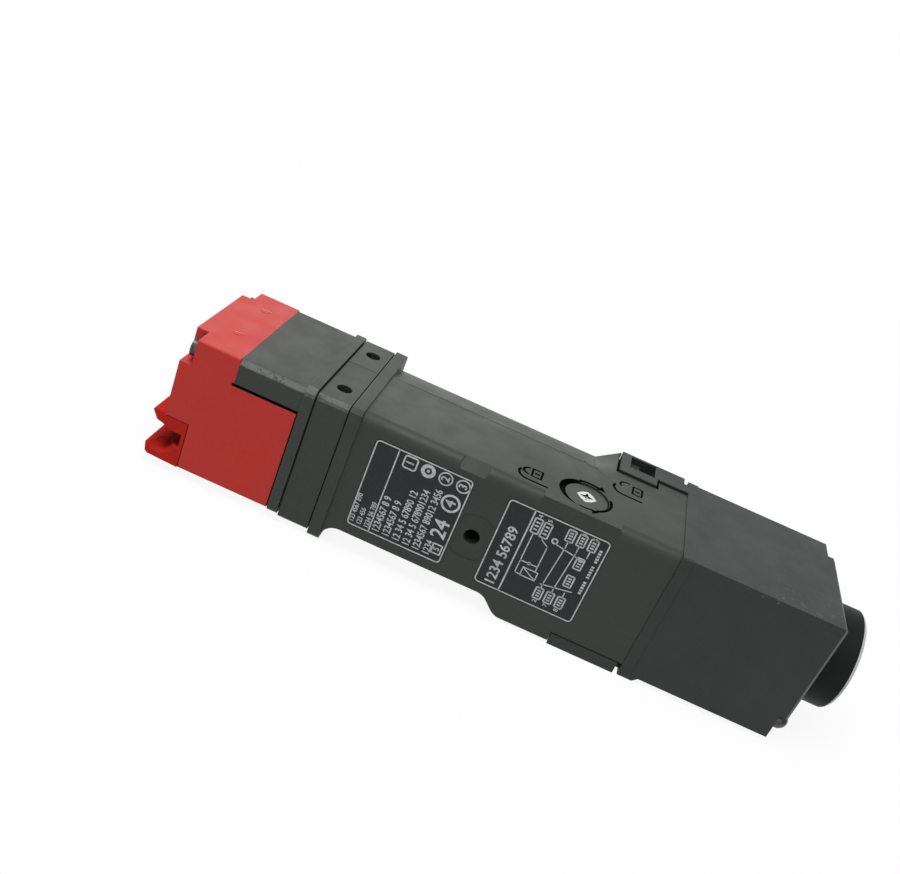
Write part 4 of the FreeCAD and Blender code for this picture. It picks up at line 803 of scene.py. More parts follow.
@dataclass
class Engraving:
    """Cuts grooves into a merged copy of one solid part, and lets the copy stand for the part.

    Attributes:
        part: the part of the frame.
        body: the body that the part rides on.
        slot: the record's material slot; not used.
        smooth_deg: edges sharper than this stay sharp.
        overshoot_mm: how far a cutting prism stands above the face it cuts.
    """

    part: bpy.types.Object
    body: str = "switch_body"
    slot: str = "black_plastic"
    smooth_deg: float = 28.0
    overshoot_mm: float = 0.3

    def __post_init__(self) -> None:
        """Copy the part and join its loose triangles."""
        shape = bmesh.new()
        shape.from_mesh(self.part.data)
        bmesh.ops.remove_doubles(shape, verts=shape.verts, dist=1e-6)
        mesh = bpy.data.meshes.new(self.part.name + "_dressed")
        shape.to_mesh(mesh)
        shape.free()
        if "custom_normal" in mesh.attributes:
            mesh.attributes.remove(mesh.attributes["custom_normal"])
        mesh.materials.clear()
        mesh.materials.append(self.part.data.materials[0])
        self.copy = bpy.data.objects.new(self.part.name + "_dressed", mesh)
        bpy.context.scene.collection.objects.link(self.copy)

    def apply(self, kind: str, **settings: Any) -> None:
        """Run one modifier on the copy.

        Args:
            kind: the modifier's type.
            **settings: its settings.
        """
        modifier = self.copy.modifiers.new("step", kind)
        for name, value in settings.items():
            setattr(modifier, name, value)
        graph = bpy.context.evaluated_depsgraph_get()
        made = bpy.data.meshes.new_from_object(self.copy.evaluated_get(graph))
        self.copy.modifiers.clear()
        self.copy.data = made

    def combine(self, drawing: InkDrawing, place: Matrix, finish: bpy.types.Material,
                operation: str) -> None:
        """Join a drawing's prisms to the copy, or cut them from it.

        Args:
            drawing: the prisms, which stand on their frame's plane.
            place: the matrix from the drawing's frame to the object's.
            finish: the material of the faces that the prisms leave.
            operation: DIFFERENCE or UNION.
        """
        tool = drawing.solid("tool", place, finish)
        self.apply("BOOLEAN", operation=operation, solver="EXACT", use_self=True,
                   material_mode="TRANSFER", object=tool)
        bpy.data.objects.remove(tool)

    def groove(self, drawing: InkDrawing, place: Matrix, depth_mm: float,
               finish: bpy.types.Material) -> None:
        """Cut a drawing into the face it lies on.

        Args:
            drawing: the grooves, whose thickness is set here.
            place: the matrix of the face.
            depth_mm: how deep the grooves go.
            finish: the material inside them.
        """
        drawing.stretch(-depth_mm, self.overshoot_mm)
        self.combine(drawing, place, finish, "DIFFERENCE")

    def raised(self, drawing: InkDrawing, place: Matrix, depth_mm: float,
               height_mm: float = 0.0) -> None:
        """Fill up to the face that a drawing lies on, or a little above it.

        Args:
            drawing: what is filled.
            place: the matrix of the face.
            depth_mm: how deep the filling reaches.
            height_mm: how far it stands above the face.
        """
        drawing.stretch(-depth_mm, height_mm)
        self.combine(drawing, place, self.copy.data.materials[0], "UNION")

    def finish(self) -> None:
        """Shade the copy and put it in the part's place."""
        self.copy.data.shade_smooth()
        self.copy.data.set_sharp_from_angle(angle=math.radians(self.smooth_deg))
        self.apply("WEIGHTED_NORMAL", keep_sharp=True)
        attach(self.copy, self.body)
        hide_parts(self.part.name)
        LOG.info("dressed %s: %d faces", self.part.name, len(self.copy.data.polygons))


# ---------------------------------------------------------------- finishes of the frame


@dataclass
class Finishes:
    """Every finish of the switch, built once."""

    black: MouldedPlastic = MouldedPlastic(
        "black_moulding", (0.034, 0.042, 0.034), (0.10, 0.107, 0.093))
    # Head base and block: strong paler edges, and a pale mottled band along the hood's near top
    # edge; both are partly rubbed and partly a painted highlight on the lit bevel.
    worn_and_lit: MouldedPlastic = MouldedPlastic(
        "rubbed_lit_black_moulding", (0.033, 0.040, 0.033), (0.12, 0.125, 0.112), edge_wear_and_highlight=0.5,
        rubs=(WearAndLightPatch((("Z", 40.0, 40.6), ("Y", -20.8, -21.6)), (0.14, 0.147, 0.128), 2.6,
                  (0.38, 0.5), 0.85),))
    # Terminal cover: its black is darker than the case's, painted shade for the light that falls
    # off towards the cover's end.
    cover: MouldedPlastic = MouldedPlastic(
        "black_cover_moulding", (0.024, 0.031, 0.027), (0.09, 0.097, 0.088),
        rubs=(WearAndLightPatch((("X", 56, 72), ("Y", -6.0, -19.5), ("Z", 38.0, 41.2)), (0.2, 0.205, 0.19),
                  2.0, (0.56, 0.72), 0.55, 0.3),
              # The pale band over the cover's last millimetre and its end face is a painted
              # highlight, standing in for a lit chamfer at the end.
              WearAndLightPatch((("X", 90.0, 90.5),), (0.11, 0.118, 0.104), 9.0, (0.0, 0.2), 0.8)))
    bush: MouldedPlastic = MouldedPlastic(
        "bush_moulding", (0.007, 0.009, 0.008), (0.03, 0.032, 0.03), edge_wear_and_highlight=0.1, specular=0.12)
    knob: MouldedPlastic = MouldedPlastic(
        "selector_moulding", (0.050, 0.058, 0.048), (0.12, 0.127, 0.112))
    # Front ridge: pale, a painted highlight along the front's step edge, partly rubbed.
    ridge: MouldedPlastic = MouldedPlastic(
        "rubbed_ridge_highlight", (0.10, 0.108, 0.096), (0.15, 0.155, 0.142))
    red: MouldedPlastic = red_moulding("red_moulding", (0.56, 0.026, 0.017), (0.72, 0.10, 0.08))
    # Raised marks on the head: a paler, lit copy of the red, painted highlight.
    lit_red: MouldedPlastic = red_moulding(
        "red_mark_painted_highlight", (0.78, 0.15, 0.12), (0.85, 0.3, 0.26), edge_wear_and_highlight=0.3)
    guide_red: MouldedPlastic = red_moulding(
        "red_guide_moulding", (0.54, 0.024, 0.016), (0.72, 0.10, 0.08), 0.8, 0.25,
        specular=0.03,
        # The dark red patch inside the key guide's hollow is painted shade.
        rubs=(WearAndLightPatch((("Y", -21.6, -19.5), ("X", -99.5, -96.5)), (0.17, 0.006, 0.005), 20.0,
                  (0.0, 0.05), 0.9),))
    # Dark red inside the key guide's seam: painted shade in the joint.
    deep_red: InkFilmAndShade = InkFilmAndShade("red_seam_painted_shade", (0.14, 0.006, 0.004), (0.18, 0.008, 0.006),
                                      0.8, 0.1)
    pale: MouldedPlastic = MouldedPlastic(
        "natural_moulding", (0.55, 0.53, 0.46), (0.66, 0.64, 0.58))
    seal: MouldedPlastic = MouldedPlastic(
        "pale_seal_ring", (0.62, 0.635, 0.63), (0.72, 0.73, 0.72))
    rubber: SoftRubber = SoftRubber("black_rubber", (0.012,) * 3, (0.035,) * 3)
    steel: WorkedMetal = WorkedMetal("plated_steel", (0.62, 0.61, 0.58), (0.42, 0.41, 0.38))
    # Darkened steel for the screws, their crowns and the cam: painted shade, as they sit in corners
    # and in the key slot.
    shaded_steel: WorkedMetal = WorkedMetal(
        "steel_painted_shade", (0.10, 0.10, 0.096), (0.03, 0.03, 0.028), 0.28)
    bright: WorkedMetal = WorkedMetal("bright_insert", (0.80, 0.80, 0.78), (0.6, 0.6, 0.58), 0.24)
    brass: WorkedMetal = WorkedMetal("turned_brass", (0.72, 0.52, 0.24), (0.52, 0.36, 0.16), 0.32)
    silver: WorkedMetal = WorkedMetal("contact_silver", (0.78, 0.77, 0.73), (0.6, 0.58, 0.54))
    copper: WorkedMetal = WorkedMetal(
        "enamelled_copper", (0.55, 0.2, 0.08), (0.4, 0.13, 0.05), 0.34)
    ink: InkFilmAndShade = InkFilmAndShade("white_print", (0.66, 0.68, 0.68), (0.44, 0.46, 0.46))
    film: InkFilmAndShade = InkFilmAndShade("label_film", (0.0135, 0.0175, 0.0195), (0.018, 0.022, 0.024),
                                  0.5, 0.25)
    # Near black inside the engraved marks and the joints: painted shade in the grooves.
    shade: InkFilmAndShade = InkFilmAndShade("painted_groove_shade", (0.005,) * 3, (0.008,) * 3, 0.9, 0.05)
    made: Dict[str, bpy.types.Material] = field(default_factory=dict)

    def get(self, name: str) -> bpy.types.Material:
        """Build a finish the first time it is asked for.

        Args:
            name: the finish's field name.

        Returns:
            The material.
        """
        if name not in self.made:
            self.made[name] = getattr(self, name).build()
        return self.made[name]


PARTS_BY_FINISH = {
    "black": ("case_shell",),
    "knob": ("release_selector",),
    "worn_and_lit": ("mounting_block", "head_base"),
    "cover": ("terminal_cover",),
    "bush": ("conduit_bush",),
    "red": ("head_cover",),
    "guide_red": ("key_guide",),
    "rubber": ("head_gasket", "block_gasket", "cover_seal", "plunger_seal", "release_seal",
               "bush_seal"),
    "seal": ("bush_ring",),
    "pale": ("contact_housing", "lock_contact_housing", "solenoid_bobbin", "terminal_block"),
    "shaded_steel": ("head_screws", "cover_screws", "operating_cam"),
    "steel": ("cam_shaft", "contact_plunger", "plunger_spring", "lock_rod", "lock_link",
              "solenoid_plunger", "lock_spring", "solenoid_frame", "solenoid_core",
              "release_clip", "block_screws", "terminal_screws"),
    "bright": ("release_insert",),
    "brass": ("screw_inserts", "terminal_clamps"),
    "silver": ("contact_bridges", "fixed_contacts", "lock_bridge", "lock_fixed_contacts"),
    "copper": ("solenoid_coil",),
}


def dress_frame(nodes: Dict[str, bpy.types.Object], finishes: Finishes) -> None:
    """Give each solid part of the frame its material.

    Args:
        nodes: the frame's parts by name.
        finishes: the switch's finishes.
    """
    for finish, names in PARTS_BY_FINISH.items():
        for name in names:
            slots = nodes[name].data.materials
            slots.clear()
            slots.append(finishes.get(finish))
            LOG.info("part %s: %s", name, finish)


# ---------------------------------------------------------------- label plates


@dataclass
class DashRow:
    """Short printed dashes in a row, as a line of small print reads from arm's length.

    Attributes:
        pitch_mm: from one dash to the next.
        length_mm: a dash's length.
        height_mm: its height.
        thickness_mm: the ink's thickness.
        word: every so many places one dash is left out.
        least: the smallest share of its size that a dash may have.
        most: the largest.
        seed: the random seed of the sizes.
    """

    pitch_mm: float = 0.9
    length_mm: float = 0.7
    height_mm: float = 0.95
    thickness_mm: float = 0.03
    word: int = 6
    least: Tuple[float, float, float] = (0.7, 0.82, 1)
    most: Tuple[float, float, float] = (1.12, 1, 1)
    seed: int = 3

    def bake(self, name: str, start: float, end: float, level: float,
             finish: bpy.types.Material) -> bpy.types.Mesh:
        """Bake the row: one small bar on each point, its size varied at random.

        Args:
            name: the mesh's name.
            start: where the row starts on the label.
            end: where it ends.
            level: its height on the label.
            finish: the ink.

        Returns:
            The row's mesh, in the label's frame.
        """
        tree = PatternTree(name)
        length = tree.size("Dash Length", self.length_mm * MM)
        height = tree.size("Dash Height", self.height_mm * MM)
        thick = tree.size("Ink Thickness", self.thickness_mm * MM)
        seed = tree.size("Seed", self.seed, whole=True)
        size = tree.add("ShaderNodeCombineXYZ", X=length, Y=height, Z=thick)
        bar = tree.add("GeometryNodeMeshCube", Size=size.outputs[0])
        scale = tree.add("FunctionNodeRandomValue", data_type="FLOAT_VECTOR", Seed=seed)
        feed(tree.group, scale, {0: self.least, 1: self.most})
        tree.spread(bar.outputs["Mesh"], finish, Scale=scale.outputs[0])
        places = range(int((end - start) / self.pitch_mm))
        return tree.bake(name, [
            (start + (i + 0.5) * self.pitch_mm, level, self.thickness_mm / 2)
            for i in places if i % self.word != self.word - 1])


@dataclass
class TerminalBoxes:
    """Small boxes with three bars inside, one for each pair of terminals on the wiring plan.

    Attributes:
        length_mm: a box's length.
        height_mm: its height.
        line_mm: its line's width.
        thickness_mm: the ink's thickness.
        inner: where the bars inside stand, as shares of the length.
        inner_size: their width and height, as shares of the line's width and the box's height.
    """

    length_mm: float
    height_mm: float = 2.1
    line_mm: float = 0.42
    thickness_mm: float = 0.03
    inner: Tuple[float, ...] = (-0.24, 0.0, 0.24)
    inner_size: Point = (1.1, 0.5)

    def bake(self, name: str, centres: Sequence[Point], finish: bpy.types.Material
             ) -> bpy.types.Mesh:
        """Bake the boxes: a frame of four bars and three bars inside, on each point.

        Args:
            name: the mesh's name.
            centres: the boxes' middles on the label.
            finish: the ink.

        Returns:
            The boxes' mesh, in the label's frame.
        """
        tree = PatternTree(name)
        length = tree.size("Box Length", self.length_mm * MM)
        height = tree.size("Box Height", self.height_mm * MM)
        line = tree.size("Line Width", self.line_mm * MM)
        thick = tree.size("Ink Thickness", self.thickness_mm * MM)
        bars = []
        for share in (-0.5, 0.5):
            bars.append(({"X": length, "Y": line}, {"Y": tree.times(height, share)}))
            bars.append(({"X": line, "Y": height}, {"X": tree.times(length, share)}))
        for share in self.inner:
            wide, tall = (tree.times(whole, part)
                          for whole, part in zip((line, height), self.inner_size))
            bars.append(({"X": wide, "Y": tall}, {"X": tree.times(length, share)}))
        join = tree.add("GeometryNodeJoinGeometry")
        for size, offset in bars:
            block = tree.add("ShaderNodeCombineXYZ", Z=thick, **size)
            bar = tree.add("GeometryNodeMeshCube", Size=block.outputs[0])
            shift = tree.add("ShaderNodeCombineXYZ", **offset)
            moved = tree.add("GeometryNodeTransform", Geometry=bar.outputs["Mesh"],
                             Translation=shift.outputs[0])
            feed(tree.group, join, {0: moved.outputs[0]})
        tree.spread(join.outputs[0], finish)
        return tree.bake(name, [(x, y, self.thickness_mm / 2) for x, y in centres])


@dataclass
class LabelPlate:
    """One printed film on the near side of the case.

    Attributes:
        finishes: the switch's finishes.
        name: the label's name.
        head_edge: where it begins along the length.
        cover_edge: where it ends.
        low: its lower edge.
        high: its upper edge.
        film_mm: the film's thickness.
        line: the width of its lines.
        corner: its corners' radius.
        margin: how far the border stands in from the edge.
        inset: how far the divider stands in from the edge.
    """

    finishes: Finishes
    name: str
    head_edge: float
    cover_edge: float
    low: float = 8.8
    high: float = 37.4
    film_mm: float = 0.07
    line: float = 0.36
    corner: float = 1.5
    margin: float = 0.3
    inset: float = 0.6

    def __post_init__(self) -> None:
        """Work out the label's width and height in its reading direction."""
        self.width = self.high - self.low
        self.height = self.cover_edge - self.head_edge

    def place(self, level: float) -> Matrix:
        """Give the label's frame at a level, in metres."""
        return face_frame(Side.NEAR, (self.head_edge + self.cover_edge) / 2 * MM,
                          (self.low + self.high) / 2 * MM, level)

    def divide(self, drawing: InkDrawing, split: float, width: float) -> None:
        """Draw the line between the head strip and the rest, at a height."""
        reach = self.width / 2 - self.inset
        drawing.bar((-reach, split), (reach, split), width)

    def draw(self, drawing: InkDrawing) -> None:
        """Draw what the label carries, in its own millimetres."""
        raise NotImplementedError

    def build(self) -> None:
        """Make the dark film and the print."""
        film = InkDrawing(self.film_mm)
        film.outline(rounded((0, 0), (self.width, self.height), self.corner))
        film.piece(f"{self.name}_film", self.place(NEAR_FACE), self.finishes.get("film"))
        drawing = InkDrawing()
        drawing.frame((0, 0), (self.width - 2 * self.margin, self.height - 2 * self.margin),
                      self.line, self.corner - self.margin)
        self.draw(drawing)
        drawing.piece(f"{self.name}_print", self.place(NEAR_FACE - self.film_mm * MM),
                      self.finishes.get("ink"))


@dataclass
class RatingLabel(LabelPlate):
    """The label by the head: a divided head strip, rows of small print and numbered marks.

    Attributes:
        strip: the head strip's height.
        ring: the outer radius of the column's rings.
        head_rows: the head strip's rows.
        head_style: their first level from the top, pitch, digit height and digit width.
        rows: the rows below.
        row_style: the same, from the divider.
        indent: where the rows start from the edge.
        column: how far the column of marks stands in from the other edge.
        levels: the marks' levels from the divider.
    """

    strip: float = 6.9
    ring: float = 2.05
    head_rows: Tuple[str, ...] = ("123 4567 890", "123 456", "1234 56 789")
    head_style: Tuple[float, ...] = (1.4, 2.25, 1.4, 0.86)
    rows: Tuple[str, ...] = ("1234567 8 9", "1234567 8 9", "12 34 5 67890 12",
                             "12 34 5 678901234", "1234567 89012 3456", "1234")
    row_style: Tuple[float, ...] = (1.85, 3.02, 2.1, 0.8)
    indent: float = 1.3
    column: float = 3.0
    levels: Tuple[float, ...] = (3.9, 9.1, 14.2, 19.3)

    def draw(self, drawing: InkDrawing) -> None:
        """Draw the divider, the rows and the marks."""
        right, top = self.width / 2, self.height / 2
        split = top - self.strip
        self.divide(drawing, split, self.line)
        for texts, level, style in ((self.head_rows, top, self.head_style),
                                    (self.rows, split, self.row_style)):
            first, pitch, high, wide = style
            for index, text in enumerate(texts):
                drawing.number(text, (self.indent - right, level - first - pitch * index),
                               high, wide, True)
        self.draw_column(drawing, [(right - self.column, split - y) for y in self.levels])
        self.draw_foot(drawing, -top)

    def draw_column(self, drawing: InkDrawing, places: Sequence[Point]) -> None:
        """Draw the boxed number, the ring with its disc and the two ringed numbers.

        Args:
            drawing: the label's drawing.
            places: the marks' middles, from the top.
        """
        drawing.frame(places[0], (4.1, 4.1), 0.45, 0.9)
        drawing.number("1", places[0], 2.2)
        drawing.ring(places[1], self.ring, self.ring * 0.5)
        drawing.disc(places[1], 0.45)
        for text, place in zip("23", places[2:]):
            drawing.ring(place, self.ring, self.ring - 0.4)
            drawing.number(text, place, 2.3)

    def draw_foot(self, drawing: InkDrawing, low: float) -> None:
        """Draw the foot's marks: a ringed number, a large number and a boxed number.

        Args:
            drawing: the label's drawing.
            low: the label's lower edge.
        """
        drawing.ring((5.0, low + 3.85), 2.75, 2.1)
        drawing.number("4", (5.0, low + 3.85), 2.9)
        drawing.number("24", (-3.6, low + 3.6), 4.2)
        drawing.frame((-9.9, low + 2.5), (3.4, 3.0), 0.42, 0.3)
        drawing.number("5", (-9.9, low + 2.5), 1.7)


@dataclass
class WiringLabel(LabelPlate):
    """The label by the cover: numbers in its head strip and a plain wiring plan below.

    Attributes:
        strip: the head strip's height.
        upper: the middles of the upper terminal boxes, across and below the divider.
        lower: those of the lower ones.
        middle: those of the two without a number.
        long: how many of the upper boxes are long.
        short_mm: the other boxes' length.
        long_mm: the length of the long ones.
        digit: the height of a terminal's number.
    """

    strip: float = 7.7
    upper: Tuple[Point, ...] = ((9.6, 1.9), (9.4, 4.7), (11.0, 11.2), (11.0, 14.4), (11.0, 17.6))
    lower: Tuple[Point, ...] = ((-9.4, 10.2), (-9.4, 13.4), (-9.4, 16.6))
    middle: Tuple[Point, ...] = ((4.2, 16.4), (-2.0, 16.2))
    long: int = 2
    short_mm: float = 3.6
    long_mm: float = 4.6
    digit: float = 1.25

    def draw(self, drawing: InkDrawing) -> None:
        """Draw the divider, the numbers and the plan."""
        right, split = self.width / 2, self.height / 2 - self.strip
        self.divide(drawing, split, self.line * 1.2)
        drawing.number("1234 56789", (-3.4, split + self.strip - 4.6), 2.9)
        ink = self.finishes.get("ink")
        upper, lower, middle = ([(x, split - y) for x, y in boxes]
                                for boxes in (self.upper, self.lower, self.middle))
        for name, length, boxes in (("long_boxes", self.long_mm, upper[:self.long]),
                                    ("short_boxes", self.short_mm,
                                     upper[self.long:] + lower + middle)):
            drawing.take(TerminalBoxes(length).bake(name, boxes, ink), 1 / MM)
        for text, (x, y) in zip("45136", upper):
            drawing.number(text, (min(x + 3.2, right - 1.3), y), self.digit)
        for text, (x, y) in zip("278", lower):
            drawing.number(text, (x - 2.7, y), self.digit)
        self.draw_coil(drawing, split, upper[:self.long])
        self.draw_contacts(drawing, split, upper[self.long:], lower)
        foot = DashRow().bake("foot_row", -4.4, 11.6, 1.9 - self.height / 2, ink)
        drawing.take(foot, 1 / MM)

    def draw_coil(self, drawing: InkDrawing, split: float, boxes: Sequence[Point]) -> None:
        """Draw the plan's coil, its two wires and the link below it.

        Args:
            drawing: the label's drawing.
            split: the divider's height.
            boxes: the middles of the coil's two boxes.
        """
        wide = self.line * 0.85
        x, y = coil = (-5.0, split - 5.6)
        drawing.frame(coil, (3.0, 4.6), wide, 0.1)
        drawing.bar((x - 1.1, y - 1.9), (x + 1.1, y + 1.9), wide)
        (first, high), (second, low) = boxes
        drawing.line([(first - 2.3, high), (-3.0, high), (-6.2, high), (-6.2, y + 2.3)], wide)
        drawing.line([(second - 2.3, low), (6.4, low), (5.0, low - 2.2), (-3.4, low - 2.2)],
                     wide)
        drawing.disc((-2.0, split - 4.4), 0.55)
        drawing.bar((-2.0, split - 1.9), (-2.0, split - 6.8), wide)

    def draw_contacts(self, drawing: InkDrawing, split: float, upper: Sequence[Point],
                      lower: Sequence[Point]) -> None:
        """Draw the plan's three contacts and the link that works them.

        Args:
            drawing: the label's drawing.
            split: the divider's height.
            upper: the middles of the contacts' upper boxes.
            lower: the middles of their lower boxes.
        """
        wide = self.line * 0.85
        drawing.ring((7.6, split - 8.0), 0.95, 0.5)
        drawing.bar((6.9, split - 8.6), (5.4, split - 17.0), wide)
        ends = [((a - 4.2, b), (c + 3.4, d)) for (a, b), (c, d) in zip(upper, lower)]
        for (x, y), (low_x, low_y), (first, second) in zip(upper, lower, ends):
            drawing.bar((x - 1.8, y), first, wide)
            drawing.bar((low_x + 1.8, low_y), second, wide)
        for first, second in ends[:2]:
            drawing.bar(first, second, wide)
        (first_x, first_y), (last_x, last_y) = lower[0], lower[-1]
        drawing.bar((first_x + 3.0, first_y + 0.6), (last_x + 4.6, last_y - 1.6), wide)


# ---------------------------------------------------------------- moulded marks


@dataclass
class FrontMarks:
    """The marks engraved round the selector, in millimetres from the selector's axis.

    Attributes:
        start: where the wide groove starts, in degrees.
        span: how far it runs.
        radius: the selector's radius as it is seen.
        seat: the radius of the seat in the case.
        line: the width of an engraved line.
        shackle: the outer radius of a padlock's shackle.
        bend: the radius of the hook at an underline's head end.
        bulge: the power that shapes the wide groove, where 1 gives a sine.
        steps: how many pieces the wide groove's arcs have.
        collar_depth: how deep the filling round the selector reaches.
        groove_depth: the wide groove's depth.
        arc_depth: the thin arcs' depth.
        lock_depth: the padlocks' depth.
        locks: each padlock's middle, and True where it is open.
        hooks: the middle of each underline's hook along, and the line's place across.
        heads: each arrow head's angle, its width and the way it points.
    """

    start: float = 112.0
    span: float = 146.0
    radius: float = 6.2
    seat: float = 7.6
    line: float = 0.8
    shackle: float = 2.2
    bend: float = 3.0
    bulge: float = 0.45
    steps: int = 24
    collar_depth: float = 1.4
    groove_depth: float = 2.2
    arc_depth: float = 0.7
    lock_depth: float = 0.45
    locks: Tuple[Tuple[Point, bool], ...] = (((-14.6, -0.6), False), ((13.6, 14.6), True))
    hooks: Tuple[Point, ...] = ((-16.6, -5.4), (9.6, 9.6))
    heads: Tuple[Tuple[float, float, int], ...] = ((64, 2.7, -1), (291, 2.3, 1))

    def padlock(self, drawing: InkDrawing, centre: Point, is_open: bool) -> None:
        """Draw a padlock that lies on its side, body to the cover.

        Args:
            drawing: the drawing.
            centre: the middle of the body.
            is_open: True where the shackle stands open.
        """
        x, y = centre
        thin = self.line * 0.82
        drawing.frame(centre, (3.4, 4.9), thin, 0.3)
        drawing.bar((x - 0.35, y), (x + 0.35, y), self.line)
        if is_open:
            drawing.ring((x - 3.4, y + 1.0), self.shackle, self.shackle - thin, 60, 222)
        else:
            drawing.ring((x - 2.1, y), self.shackle, self.shackle - self.line, 92, 268)

    def underline(self, drawing: InkDrawing, hook: Point) -> None:
        """Draw the line that runs along a padlock and hooks round its head end.

        Args:
            drawing: the drawing.
            hook: the middle of the hook's arc along the length, and the line's place across.
        """
        x, y = hook
        half = self.line / 2
        drawing.ring((x, y + self.bend), self.bend + half, self.bend - half, 150, 269)
        drawing.bar((x + half, y), (x + 5.4, y), self.line)

    def crescent(self, drawing: InkDrawing) -> None:
        """Draw the wide groove at the selector's head side."""
        shares = [i / self.steps for i in range(self.steps + 1)]
        wide = self.seat + 0.1 - self.radius
        outer, inner = (
            [polar(reach(share), self.start + self.span * share) for share in shares]
            for reach in (
                lambda s: self.radius + 0.5 + wide * math.sin(math.pi * s) ** self.bulge,
                lambda s: self.radius - 0.4))
        drawing.outline(outer + inner[::-1])

    def arcs(self, drawing: InkDrawing) -> None:
        """Draw the two thin arcs with their arrow heads, and the arc at the cover's side."""
        out = self.radius + 0.5
        drawing.ring((0, 0), out + self.line + 0.3, out, 66, 116)
        drawing.ring((0, 0), out + self.line * 0.8, out, 246, 289)
        drawing.ring((0, 0), out + self.line, out - 0.1, -62, 22)
        for angle, width, way in self.heads:
            across = Vector(polar(1, angle))
            along = Vector((-across.y, across.x)) * way
            middle = across * (out + 0.5)
            back = middle - along * 0.6
            corners = (back - across * width * 0.3, back + across * width * 0.7,
                       middle + across * 0.3 + along * 1.7)
            drawing.outline([tuple(corner) for corner in corners][::way])

    def engrave(self, case: Engraving, finishes: Finishes, place: Matrix) -> None:
        """Cut every mark into the case.

        Args:
            case: the case's copy.
            finishes: the switch's finishes.
            place: the matrix of the front pad, centred on the selector's axis.
        """
        # The marks' walls take the near black, painted shade.
        dark = finishes.get("shade")
        collar, deep, fine, locks = (InkDrawing() for _ in range(4))
        collar.ring((0, 0), self.seat, self.radius + 0.3)
        case.raised(collar, place, self.collar_depth)
        self.crescent(deep)
        case.groove(deep, place, self.groove_depth, dark)
        self.arcs(fine)
        case.groove(fine, place, self.arc_depth, dark)
        for (centre, is_open), hook in zip(self.locks, self.hooks):
            self.padlock(locks, centre, is_open)
            self.underline(locks, hook)
        case.groove(locks, place, self.lock_depth, dark)


@dataclass
class LatchGap:
    """The open joint round the far latch arm, on the case's front.

    Attributes:
        plate: where the latch plate ends towards the head.
        arm: where the wide part of the arm ends.
        seam: where the cover begins.
        inner: the inner edge of the latch plate.
        arm_inner: the inner edge of the arm.
        edge: how far out the joint runs.
        gap: how wide the joint is.
        depth: how deep it is.
    """

    plate: float = 22.85
    arm: float = 34.45
    seam: float = 44.0
    inner: float = 10.2
    arm_inner: float = 14.5
    edge: float = 21.2
    gap: float = 0.75
    depth: float = 1.4

    def engrave(self, case: Engraving, finishes: Finishes, front: float) -> None:
        """Cut the joint into the case's front.

        Args:
            case: the case's copy.
            finishes: the switch's finishes.
            front: the front's level, in metres.
        """
        half = self.gap / 2
        head, cover = self.plate - half, self.arm + half
        wide, narrow = self.inner - half, self.arm_inner - half
        joint = InkDrawing()
        joint.line([(head, self.edge), (head, wide), (cover, wide), (cover, narrow),
                    (self.seam, narrow)], self.gap)
        # The joint's walls take the near black, painted shade.
        case.groove(joint, face_frame(Side.FRONT, 0, 0, front), self.depth,
                    finishes.get("shade"))


@dataclass
class FrontRidge:
    """The thin ridge along the case's front, whose pale colour is a painted highlight along the
    front's step edge, partly rubbed.

    Attributes:
        points: its course, along and across.
        width: its width.
        rise: how far it stands out.
    """

    points: Tuple[Point, ...] = ((-47.0, 6.4), (12.5, 6.6), (16.5, 5.9), (20.0, 3.9))
    width: float = 0.42
    rise: float = 0.05

    def build(self, finishes: Finishes, front: float) -> None:
        """Make the ridge on the front, whose level is given in metres."""
        ridge = InkDrawing(self.rise)
        ridge.line(self.points, self.width)
        ridge.piece("front_ridge", face_frame(Side.FRONT, 0, 0, front), finishes.get("ridge"))


